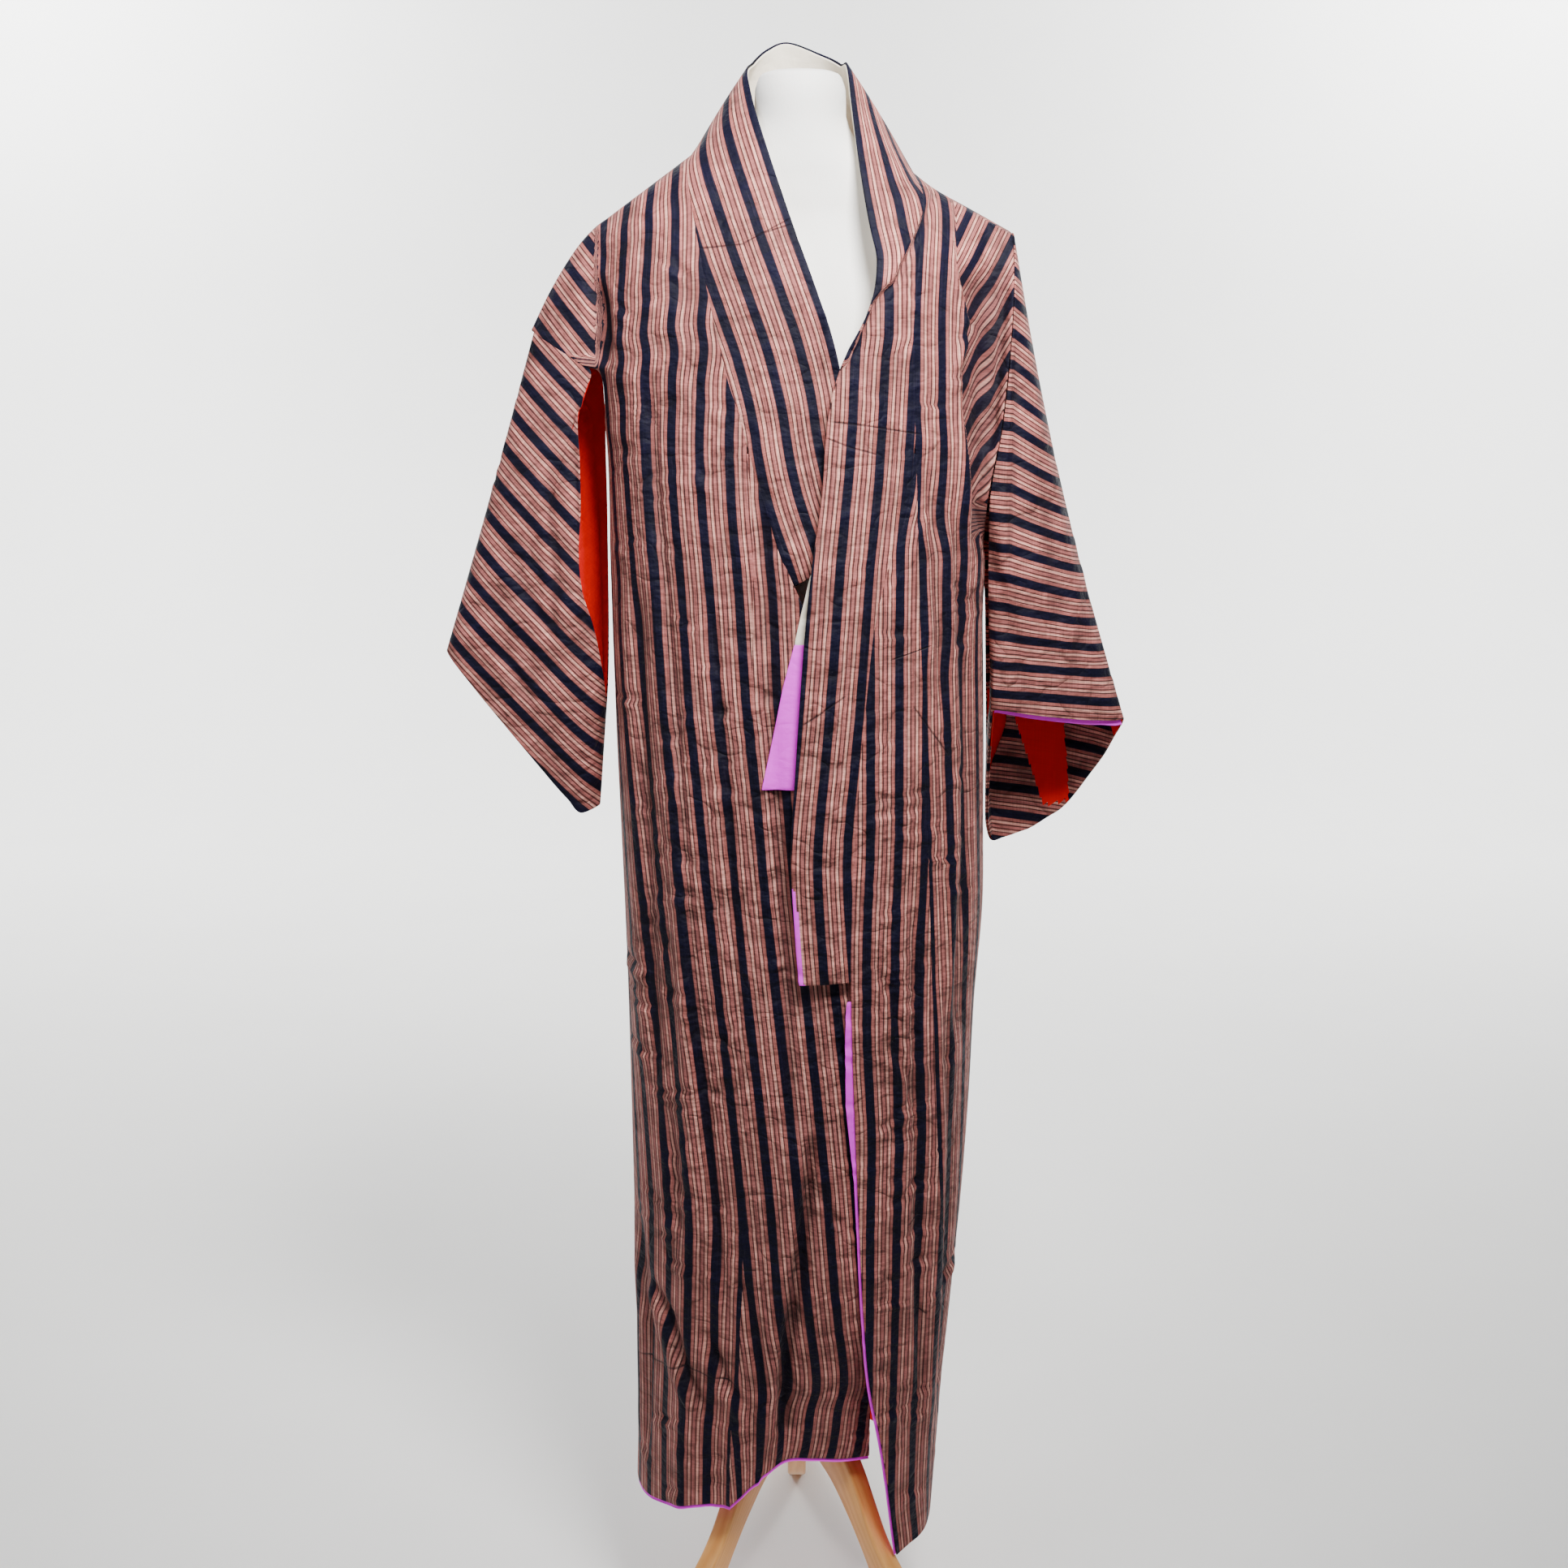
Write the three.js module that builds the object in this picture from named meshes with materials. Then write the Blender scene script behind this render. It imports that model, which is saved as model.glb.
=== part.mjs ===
// A women's kimono draped on a limbless dress form with a wooden three-legged stand.
// Millimetres, +Z up, +X to the viewer's right (the wearer's left), -Y to the front.
import * as THREE from "three";

const CLOTH = 2.0; // wall of the lined cloth
const LINING = 1.2; // wall of a lining or facing where it shows
const SEAM = 0.3; // space between two pieces at a seam
const FUKI = 4; // how far the hem facing stands out below the hem
const LAP = 10; // how far the upper front lies outside the lower front
const SLEEVE_ROWS = 9; // rows of a sleeve from its seam to its cuff
const SLEEVE_LOOP = 26; // points round a sleeve
const HUB_Z = [196, 262]; // stand hub, bottom and top
const LEG_THICK = 22; // plank of a leg
const LEG_TURNS = [227, 313, 90]; // degrees round the pole, from +X

// ---------------------------------------------------------------- small helpers
// A table is a list of rows; at() reads it at a key, straight between the rows.
function at(table, key, column = 1) {
  const first = table[0], last = table[table.length - 1];
  if (key <= first[0]) return first[column];
  if (key >= last[0]) return last[column];
  let i = 1;
  while (table[i][0] < key) i++;
  const a = table[i - 1], b = table[i];
  return a[column] + ((b[column] - a[column]) * (key - a[0])) / (b[0] - a[0]);
}
const mix = (a, b, t) => a + (b - a) * t;
const mix3 = (p, q, t) => [mix(p[0], q[0], t), mix(p[1], q[1], t), mix(p[2], q[2], t)];
const smooth = (a, b, x) => {
  const t = Math.min(1, Math.max(0, (x - a) / (b - a)));
  return t * t * (3 - 2 * t);
};
const sub = (p, q) => [p[0] - q[0], p[1] - q[1], p[2] - q[2]];
const add = (p, q, k = 1) => [p[0] + q[0] * k, p[1] + q[1] * k, p[2] + q[2] * k];
const cross = (p, q) => [p[1] * q[2] - p[2] * q[1], p[2] * q[0] - p[0] * q[2], p[0] * q[1] - p[1] * q[0]];
const unit = (p) => {
  const l = Math.hypot(...p) || 1;
  return [p[0] / l, p[1] / l, p[2] / l];
};
const rad = Math.PI / 180;

// ---------------------------------------------------------------- tables
// Sections of the worn kimono: height, left half, right half, front, back.
const BODY = [
  [90, 175, 140, 132, 126],
  [171, 181, 145, 134, 128],
  [272, 177, 153, 136, 127],
  [371, 178, 162, 137, 126],
  [564, 179, 177, 138, 124],
  [748, 181, 183, 138, 124],
  [837, 183, 189, 138, 124],
  [1012, 188, 186, 138, 124],
  [1179, 191, 181, 134, 120],
  [1250, 191, 179, 129, 115],
  [1300, 191, 179, 126, 112],
  [1370, 193, 181, 118, 106],
];
// Shoulder line of each side: distance from the middle, height.
const RIDGE = {
  right: [[60, 1604], [104, 1582], [147, 1551], [209, 1507], [240, 1464], [265, 1416]],
  left: [[60, 1596], [112, 1562], [130, 1549], [165, 1531], [206, 1509]],
};
// Where the sleeve seam starts under the arm, its way out and up to the end of the shoulder
// line (tip), and how far its front and back stand from the middle (deep).
const ARM = {
  right: { z: 1370, out: [[0, 193], [1, 265]], tip: 1416, deep: 40 },
  left: { z: 1250, out: [[0, 183], [0.2, 192], [0.5, 201], [0.8, 206], [1, 206]], tip: 1509, deep: 54 },
};
// Inner edge of each body panel from the armpit to the shoulder line: height, x, y.
const NECK_FRONT = {
  right: [
    [1370, -69, -112], [1419, -81, -102], [1489, -96, -81],
    [1558, -108, -48], [1576, -108, -20], [1582, -104, 5],
  ],
  left: [
    [1250, 106, -120], [1317, 104, -115], [1382, 105, -108], [1434, 107, -100],
    [1479, 111, -87], [1530, 115, -58], [1552, 115, -26], [1562, 112, 5],
  ],
};
// Neck seam over the back, from the shoulder line to the middle: share, x, y, z.
const NECK_BACK = {
  right: [[0, -104, 5, 1582], [0.35, -84, 48, 1594], [0.7, -44, 76, 1603], [1, -0.2, 86, 1606]],
  left: [[0, 112, 5, 1562], [0.35, 90, 48, 1584], [0.7, 46, 76, 1600], [1, 0.2, 86, 1606]],
};
// Seam between body panel and overlap panel: height, x.
const OKUMI_SEAM = {
  right: [[150, -74], [250, -70], [400, -61], [700, -52], [1000, -47], [1195, -45], [1260, -47], [1318, -53], [1370, -69]],
  left: [[120, 135], [253, 141], [400, 143], [560, 138], [728, 131], [920, 122], [1150, 110], [1317, 104]],
};
// Other edge of each overlap panel: the collar seam, then the free edge: height, x.
const OKUMI_EDGE = {
  right: [
    [200, 76], [500, 78], [900, 62], [985, 30], [1030, 24], [1080, 18],
    [1133, 11], [1195, -14], [1270, -39], [1300, -48], [1318, -52],
  ],
  left: [
    [90, 104], [121, 98], [253, 82], [350, 71], [444, 63], [624, 55], [728, 51], [787, 48],
    [920, 51], [1040, 58], [1149, 70], [1186, 78], [1252, 98], [1300, 102.5], [1317, 104],
  ],
};
// Hem heights: x along the front, and one height for the back.
const HEM = {
  right: [[-190, 166], [-167, 168], [-116, 186], [-74, 194]],
  left: [[98, 122], [150, 142]],
  okumi_right: [[-74, 194], [-60, 214], [-45, 228], [-12, 240], [27, 236], [70, 230]],
};
const BACK_HEM = 162;
// Free edge of the collar beside its seam: height of the seam, then x, y, z of the edge.
const COLLAR_EDGE = {
  right: [
    [1133, 88, -121, 1168], [1195, 68, -125, 1238], [1270, 47, -124, 1305], [1345, 36, -119, 1384],
    [1419, 12, -107, 1455], [1489, -12, -84, 1520], [1558, -36, -50, 1592], [1576, -48, -16, 1632], [1582, -52, 10, 1654],
  ],
  left: [
    [787, 0, -151, 787], [839, -4, -152, 839], [913, -8, -152, 913], [962, -6, -151, 962],
    [1041, -1, -150, 1041], [1119, 4, -148, 1122], [1196, 13, -146, 1206], [1250, 21, -141, 1262],
    [1317, 26, -135, 1335], [1382, 42, -126, 1390], [1434, 64, -117, 1432], [1479, 71, -104, 1476],
    [1530, 62, -84, 1526], [1552, 52, -40, 1600], [1562, 48, 10, 1654],
  ],
};
// The same behind the neck: share from the shoulder line to the middle, x, y, z.
const COLLAR_TOP = {
  right: [[0, -52, 10, 1654], [0.35, -46, 46, 1672], [0.7, -31, 62, 1686], [1, -12, 68, 1692]],
  left: [[0, 48, 10, 1654], [0.35, 40, 46, 1670], [0.7, 18, 64, 1682], [1, -12, 68, 1692]],
};
// Long folds: side of the body (front or back), height of their middle line and x there,
// half width, depth, and the height above which they fade.
const FOLDS = [
  { front: true, line: [[150, -128], [700, -112], [1300, -118]], half: 20, deep: 6, top: 1180 },
  { front: true, line: [[150, -92], [700, -84], [1200, -72]], half: 15, deep: -5, top: 1080 },
  { front: true, line: [[234, -58], [328, -48], [479, -21], [622, 8]], half: 20, deep: 9, top: 600 },
  { front: true, line: [[150, 128], [700, 150], [1200, 152]], half: 18, deep: 5, top: 1040 },
  { front: false, line: [[120, -120], [1300, -104]], half: 26, deep: 11, top: 1180 },
  { front: false, line: [[120, -62], [1300, -60]], half: 24, deep: -9, top: 1220 },
  { front: false, line: [[120, 48], [1300, 54]], half: 26, deep: 10, top: 1150 },
  { front: false, line: [[120, 112], [1300, 104]], half: 24, deep: -8, top: 1240 },
];

// ---------------------------------------------------------------- the worn surface
// A point round the body: angle 180 = viewer's left, 90 = front, 0 = right, -90 = back.
function section(z, angle, out = 0) {
  const c = Math.cos(angle * rad), s = Math.sin(angle * rad);
  const a = at(BODY, z, c < 0 ? 1 : 2) + out, b = at(BODY, z, s > 0 ? 3 : 4) + out;
  return [a * c, -Math.sign(s) * b * Math.abs(s) ** 0.9, z];
}
function foldDepth(x, z, front) {
  let d = 0;
  for (const f of FOLDS) {
    if (f.front !== front) continue;
    const t = Math.abs(x - at(f.line, z)) / f.half;
    if (t < 1) d += f.deep * (0.5 + 0.5 * Math.cos(Math.PI * t)) * (1 - smooth(f.top - 420, f.top, z));
  }
  return d;
}
const angleOf = (x, z) => Math.acos(Math.max(-1, Math.min(1, x / at(BODY, z, x < 0 ? 1 : 2)))) / rad;
// A point on the front at x, moved out.
function front(x, z, out = 0) {
  const p = section(z, angleOf(x, z));
  const away = unit([p[0] * 0.5, p[1], 0]);
  return add(p, away, out + foldDepth(x, z, true));
}
// Direction in which every cloth wall has its thickness beside a seam.
function outward(p) {
  const core = [Math.max(-150, Math.min(150, p[0])) * 0.5, 0, Math.min(p[2], 1440)];
  return unit(sub(p, core));
}

// ---------------------------------------------------------------- sheets as closed shells
// Direction of the wall at each point of a sheet. shared(j, i) from 0 to 1 says how far it
// follows outward() instead of the sheet's own normal. loop closes each row.
function wallDirections(rows, { shared = () => 0, loop = false, flip = false } = {}) {
  const nj = rows.length, ni = rows[0].length;
  return rows.map((line, j) =>
    line.map((p, i) => {
      const left = loop ? line[(i + ni - 1) % ni] : line[Math.max(0, i - 1)];
      const right = loop ? line[(i + 1) % ni] : line[Math.min(ni - 1, i + 1)];
      const down = rows[Math.max(0, j - 1)][i], up = rows[Math.min(nj - 1, j + 1)][i];
      const n = unit(cross(sub(right, left), sub(up, down))), w = shared(j, i);
      return unit(add(n.map((v) => (flip ? -v : v) * (1 - w)), outward(p), w));
    }),
  );
}
// rows[j][i] is the outer face; the wall goes inwards from it, or from inset below it.
function shell(rows, wall, { loop = false, flip = false, inset = 0, own, ...rest } = {}) {
  const nj = rows.length, ni = rows[0].length;
  own = own || wallDirections(rows, { loop, flip, ...rest });
  const outer = rows.map((r, j) => r.map((p, i) => add(p, own[j][i], -inset)));
  const inner = rows.map((r, j) => r.map((p, i) => add(p, own[j][i], -inset - wall)));
  const points = [...outer.flat(), ...inner.flat()].flat(), faces = [];
  const id = (j, i, side) => side * nj * ni + j * ni + (i % ni);
  const quad = (a, b, c, d) => faces.push(...(flip ? [a, c, b, a, d, c] : [a, b, c, a, c, d]));
  const wide = loop ? ni : ni - 1;
  for (let j = 0; j < nj - 1; j++)
    for (let i = 0; i < wide; i++) {
      quad(id(j, i, 0), id(j, i + 1, 0), id(j + 1, i + 1, 0), id(j + 1, i, 0));
      quad(id(j, i, 1), id(j + 1, i, 1), id(j + 1, i + 1, 1), id(j, i + 1, 1));
    }
  for (let i = 0; i < wide; i++) {
    quad(id(0, i, 1), id(0, i + 1, 1), id(0, i + 1, 0), id(0, i, 0));
    quad(id(nj - 1, i, 0), id(nj - 1, i + 1, 0), id(nj - 1, i + 1, 1), id(nj - 1, i, 1));
  }
  if (!loop)
    for (let j = 0; j < nj - 1; j++) {
      quad(id(j, 0, 0), id(j + 1, 0, 0), id(j + 1, 0, 1), id(j, 0, 1));
      quad(id(j, ni - 1, 1), id(j + 1, ni - 1, 1), id(j + 1, ni - 1, 0), id(j, ni - 1, 0));
    }
  const g = new THREE.BufferGeometry();
  g.setAttribute("position", new THREE.Float32BufferAttribute(points, 3));
  g.setIndex(faces);
  return g;
}

// ---------------------------------------------------------------- body panels
const LEVELS = [0, 250, 330, 420, 520, 622, 728, 837, 920, 1000, 1080, 1133, 1195, 1250];
const ACROSS = 11; // spaces across a body panel
const SIDE_ANGLE = { right: 187, left: -9 };
const sign = { right: -1, left: 1 };
const lapOf = (side, x) => (side === "left" ? mix(LAP, 4, smooth(110, 175, x)) : 0);

// Height of a row: rows under 330 run down to the hem.
const rowZ = (level, hem) => (level >= 330 ? level : mix(hem, 330, level / 330));

// One row of a body panel below the arm. front: from side seam to overlap seam; back: to the middle.
function lowRow(side, level, isFront) {
  const row = [], s0 = SIDE_ANGLE[side], za = ARM[side].z, sideAngle = mix(s0, side === "left" ? 2 : 178, smooth(1100, 1300, level));
  const seamZ = Math.max(level, 160);
  const end = isFront ? angleOf(at(OKUMI_SEAM[side], seamZ), seamZ) : side === "right" ? 270 : -90;
  const apart = side === "left" ? 0.35 : 0.2;
  for (let i = 0; i <= ACROSS; i++) {
    let a = mix(sideAngle + (isFront ? -sign[side] * apart * -1 : sign[side] * apart * -1), end, i / ACROSS);
    if (!isFront && i === ACROSS) a += sign[side] * 0.1;
    const rough = section(seamZ, a);
    const hem = isFront ? at(HEM[side], rough[0]) : mix(at(HEM[side], rough[0]), BACK_HEM, smooth(0, 40, rough[1]));
    const z = rowZ(level, hem);
    let p = section(z, a);
    const open = ARM[side].deep * smooth(90, 185, Math.abs(p[0])) * smooth(za - 130, za, z);
    p[1] += (isFront ? -1 : 1) * (Math.hypot(p[1], open) - Math.abs(p[1]));
    p = add(p, unit([p[0] * 0.5, p[1], 0]), lapOf(side, p[0]) * (isFront ? 1 : smooth(60, 0, p[1])) + foldDepth(p[0], z, isFront) * smooth(0, 2, i + 0.001) * (isFront ? 1 : smooth(0, 3, ACROSS - i)));
    if (isFront && i === ACROSS) p = front(rough[0], z, lapOf(side, rough[0]));
    row.push(p);
  }
  return row;
}
// One row of a body panel between the arm and the shoulder line; t = 1 is the shoulder line.
function highRow(side, t, isFront) {
  const k = sign[side], lift = Math.sin((Math.PI / 2) * t), drop = Math.cos((Math.PI / 2) * t) ** 0.8;
  const za = ARM[side].z, ridgeY = 5, row = [];
  const xOut = at(ARM[side].out, lift);
  let inner;
  if (isFront) {
    const zi = mix(za, at(RIDGE[side], side === "right" ? 104 : 112), lift);
    inner = [at(NECK_FRONT[side], zi, 1), at(NECK_FRONT[side], zi, 2), zi];
    const seamX = zi < 1317 ? at(OKUMI_SEAM[side], zi) : inner[0];
    inner = mix3(front(seamX, zi, lapOf(side, seamX)), inner, smooth(1318, 1390, zi));
  } else if (t > 0.55) {
    const q = (1 - t) / 0.45;
    inner = [1, 2, 3].map((c) => at(NECK_BACK[side], q, c));
  } else {
    const q = t / 0.55;
    inner = mix3(add(section(za, -90), [k * 0.2, 0, 0]), [k * 0.2, 86, 1606], Math.sin((q * Math.PI) / 2));
  }
  const { tip, deep: least } = ARM[side];
  const base = (x) => {
    const flank = section(za, angleOf(x, za)), ratio = at(BODY, za, isFront ? 3 : 4) / at(BODY, za, 3);
    const deep = Math.hypot(flank[1] * ratio, least * smooth(90, 185, Math.abs(x))) + (isFront ? lapOf(side, x) : 0);
    return [x, (isFront ? -1 : 1) * deep * drop + ridgeY * (1 - drop), mix(za, at(RIDGE[side], Math.abs(x)), lift)];
  };
  const off = sub(inner, base(inner[0])), rise = mix(za, tip, lift) - base(k * xOut)[2];
  for (let i = 0; i <= ACROSS; i++) {
    const s = i / ACROSS, p = base(mix(k * xOut, inner[0], s ** 0.92));
    row.push(add(add(p, off, s * s), [0, 0, rise], (1 - s) ** 5));
  }
  return row;
}
const HIGH_FRONT = { right: [0, 0.16, 0.32, 0.48, 0.64, 0.8, 0.92], left: [0, 0.15, 0.28, 0.4, 0.52, 0.64, 0.78, 0.91] };
const HIGH_BACK = [0, 0.18, 0.36, 0.55, 0.7, 0.85];
const lowLevels = (side) => LEVELS.filter((z) => z < ARM[side].z - 20).concat(side === "right" ? [1300, 1318] : []);

function bodyPanel(side) {
  const rows = lowLevels(side).map((z) => lowRow(side, z, true));
  for (const t of HIGH_FRONT[side]) rows.push(highRow(side, t, true));
  rows.push(highRow(side, 1, true));
  for (const t of [...HIGH_BACK].reverse()) rows.push(highRow(side, t, false));
  for (const z of [...lowLevels(side)].reverse()) rows.push(lowRow(side, z, false));
  return rows;
}
const panelRows = { right: bodyPanel("right"), left: bodyPanel("left") };
const frontRowCount = (side) => lowLevels(side).length + HIGH_FRONT[side].length;
const besideSeam = (side) => (j, i) => {
  const low = lowLevels(side).length, all = panelRows[side].length, isLow = j < low || j >= all - low;
  const inner = i >= ACROSS - 1 ? (i === ACROSS ? 1 : 0.5) : 0;
  return Math.max(inner, isLow && i <= 1 ? 1 - i * 0.5 : 0);
};

// ---------------------------------------------------------------- overlap panels (okumi)
const OKUMI_ACROSS = 5;
const OKUMI_TOP = { right: 1300, left: 1300 };
function okumiRows(side, lowest = 0) {
  const rows = [], k = side === "right" ? 1 : -1;
  for (const level of LEVELS.concat([1300]).filter((z) => z >= lowest)) {
    const row = [];
    const seamZ = Math.max(level, 160);
    for (let i = 0; i <= OKUMI_ACROSS; i++) {
      const x = mix(at(OKUMI_SEAM[side], seamZ) + k * SEAM, at(OKUMI_EDGE[side], Math.max(level, 100)), i / OKUMI_ACROSS);
      const z = rowZ(level, at(HEM[side === "right" ? "okumi_right" : "left"], x));
      let p = front(x, z, side === "left" ? lapOf(side, x) : 0);
      if (side === "right") p = add(p, [0, 1, 0], 34 * smooth(420, 230, z) * smooth(-50, 0, x));
      row.push(p);
    }
    rows.push(row);
  }
  return rows;
}
const okumi = { right: okumiRows("right"), left: okumiRows("left") };
const okumiShared = (j, i) => (i === 0 || i === OKUMI_ACROSS ? 1 : 0.3);

// ---------------------------------------------------------------- collar
const COLLAR_ACROSS = 3;
function collarRows() {
  const rows = [];
  const strip = (seam, edge) => {
    const dir = unit(sub(edge, seam)), a = add(seam, dir, SEAM), row = [];
    for (let i = 0; i <= COLLAR_ACROSS; i++) {
      const t = i / COLLAR_ACROSS, p = mix3(a, edge, t);
      row.push(add(p, outward(p), 3 * Math.sin(Math.PI * t) + 0.4 * t));
    }
    return row;
  };
  const edgeFor = (side, z) => [1, 2, 3].map((c) => at(COLLAR_EDGE[side], z, c));
  const half = (side) => {
    const out = [], low = side === "right" ? 1195 : 787;
    if (side === "left") out.push(strip(front(at(OKUMI_EDGE.left, 787), 787, LAP), edgeFor("left", 787)));
    LEVELS.concat([1300]).forEach((z, j) => {
      if (z > 780 && z >= low) out.push(strip(okumi[side][j][OKUMI_ACROSS], edgeFor(side, z)));
    });
    const rowsOf = panelRows[side], low2 = lowLevels(side).length, count = frontRowCount(side);
    for (let j = 0; j <= count; j++) {
      const p = rowsOf[j][ACROSS];
      if (j >= low2 - 1 && p[2] > 1310) out.push(strip(p, edgeFor(side, p[2])));
    }
    [...HIGH_BACK].reverse().forEach((t, n) => {
      if (t >= 0.55) {
        const q = (1 - t) / 0.45;
        out.push(strip(rowsOf[count + 1 + n][ACROSS], [1, 2, 3].map((c) => at(COLLAR_TOP[side], q, c))));
      }
    });
    return out;
  };
  const right = half("right"), left = half("left");
  const middle = right.pop(), other = left.pop();
  rows.push(...right, middle.map((p, i) => mix3(p, other[i], 0.5)), ...left.reverse());
  return rows;
}
const collar = collarRows();

// ---------------------------------------------------------------- sleeves
// Each sleeve is a flat bag: one loop of points at its seam, one at its cuff.
// Loop tables: share round the loop (0 = fold along the top, 0.5 = bottom), x, y, z.
const SLEEVES = {
  right: {
    sewn: [0.04, 0.17], // share of the loop sewn to the body panel, in front
    from: 0.3, // how far down from the shoulder line the sleeve's fold starts
    away: [-0.539, 0, -0.843], // direction from the panel's edge to the sleeve's
    apart: 0.8,
    seam: [
      [0.17, -199, -38, 1370], [0.27, -197, -38, 1240], [0.33, -208, -38, 1172], [0.38, -199, -34, 1130],
      [0.44, -197, -20, 1062], [0.5, -199, 0, 1030], [0.56, -198, 26, 1062], [0.62, -198, 42, 1130],
      [0.73, -198, 46, 1240], [0.83, -199, 44, 1370],
    ],
    cuff: [
      [0, -361, 0, 1096], [0.05, -354, -12, 1087], [0.16, -322, -18, 1047], [0.3, -280, -19, 994],
      [0.4, -248, -17, 953], [0.46, -226, -12, 927], [0.5, -207, 0, 934], [0.54, -222, 12, 930],
      [0.6, -248, 18, 957], [0.7, -280, 18, 998], [0.84, -322, 18, 1051], [0.95, -354, 12, 1089], [1, -361, 0, 1096],
    ],
    swell: 8,
    sag: 0,
  },
  left: {
    sewn: [0.015, 0.27],
    from: 0.06,
    away: [1, 0, 0],
    apart: 2.5,
    seam: [
      [0.27, 186, -50, 1250], [0.36, 188, -42, 1150], [0.43, 192, -36, 1085],
      [0.5, 196, 0, 1040], [0.58, 198, 44, 1000], [0.7, 194, 52, 1150], [0.73, 190, 52, 1250],
    ],
    cuff: [
      [0, 334, -8, 1026], [0.06, 322, -22, 1027], [0.16, 290, -30, 1029], [0.28, 245, -36, 1034],
      [0.38, 208, -40, 1040], [0.43, 194, -38, 1040], [0.5, 196, 0, 1000], [0.56, 198, 44, 905],
      [0.62, 208, 64, 878], [0.72, 250, 64, 893], [0.82, 288, 56, 921], [0.93, 322, 22, 985], [1, 334, -8, 1026],
    ],
    swell: 10,
    sag: 9,
  },
};
function loopPoint(table, w) {
  return [1, 2, 3].map((c) => at(table, w, c));
}
// The outer edge of a body panel between the arm and the shoulder line; share 0 is the shoulder.
function sewnEdge(side, share, isFront) {
  const low = lowLevels(side).length, top = frontRowCount(side), { from } = SLEEVES[side];
  const first = isFront ? low : panelRows[side].length - 1 - low;
  const key = mix(mix(top, first, from), first, share), j = Math.floor(key);
  const next = Math.min(j + 1, panelRows[side].length - 1);
  return mix3(panelRows[side][j][0], panelRows[side][next][0], key - j);
}
function seamPoint(side, w) {
  const { sewn, seam, away, apart } = SLEEVES[side], half = Math.min(w, 1 - w);
  if (half > sewn[1]) return loopPoint(seam, w);
  if (half >= sewn[0]) return add(sewnEdge(side, (half - sewn[0]) / (sewn[1] - sewn[0]), w < 0.5), away, apart);
  const share = 0.5 + (0.5 * (w < 0.5 ? w : w - 1)) / sewn[0];
  return add(mix3(sewnEdge(side, 0, true), sewnEdge(side, 0, false), 1 - share), away, apart);
}
function sleeveRows(side) {
  const { cuff, swell, sag } = SLEEVES[side], rows = [];
  for (let j = 0; j <= SLEEVE_ROWS; j++) {
    const v = j / SLEEVE_ROWS, wave = Math.sin(Math.PI * v), row = [];
    for (let i = 0; i < SLEEVE_LOOP; i++) {
      const w = i / SLEEVE_LOOP, p = mix3(seamPoint(side, w), loopPoint(cuff, w), v);
      const bulge = swell * wave * Math.sin(2 * Math.PI * w);
      const fold = 5 * wave * Math.sin(6 * Math.PI * w) * (0.4 + 0.6 * v);
      row.push(add(p, [-sag * wave * Math.max(0, Math.cos(2 * Math.PI * w)), -(bulge + fold), 0]));
    }
    rows.push(row);
  }
  return rows;
}

// ---------------------------------------------------------------- facings and linings
// A facing lies behind part of a sheet and stands out past its edge. It takes the sheet's own
// wall directions, so the space between the two stays the same.
function behind(rows, own, wall, { pick, extra, last = false, inset = CLOTH + SEAM, ...rest }) {
  const part = pick(rows), ways = pick(own), more = extra(part);
  if (last) return shell([...part, more], wall, { ...rest, inset, own: [...ways, ways[ways.length - 1]] });
  return shell([more, ...part], wall, { ...rest, inset, own: [ways[0], ...ways] });
}
const lower = (part) => part[0].map((p) => add(p, [0, 0, -FUKI]));

// Facing along the free edge of the upper overlap panel: it stands out past the edge.
const EDGE_SHOWS = [[122, 3], [253, 5], [444, 7], [600, 11], [700, 9], [787, 3]];
function edgeFacing(own) {
  const rows = [], dirs = [];
  LEVELS.forEach((z, j) => {
    if (z > 780) return;
    const r = okumi.left[j], edge = r[OKUMI_ACROSS], next = r[OKUMI_ACROSS - 1];
    const dir = unit(sub(edge, next)), show = at(EDGE_SHOWS, edge[2]), d = own[j];
    rows.push([next, edge, add(edge, dir, show)]);
    dirs.push([d[OKUMI_ACROSS - 1], d[OKUMI_ACROSS], d[OKUMI_ACROSS]]);
  });
  return shell(rows, LINING, { own: dirs, flip: true, inset: CLOTH + SEAM });
}

// The turned-out lower end of the lower collar shows its lining: height, left x, right x.
const TURNED = [[981, -36, 22], [1020, -28, 24], [1080, -16, 25], [1122, -5, 26], [1150, 1, 27], [1184, 9, 28]];
function turnedRows(heights, out) {
  return heights.map((z) => {
    const row = [];
    for (let i = 0; i <= 3; i++) row.push(front(mix(at(TURNED, z, 1), at(TURNED, z, 2), i / 3), z, out));
    return row;
  });
}

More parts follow.
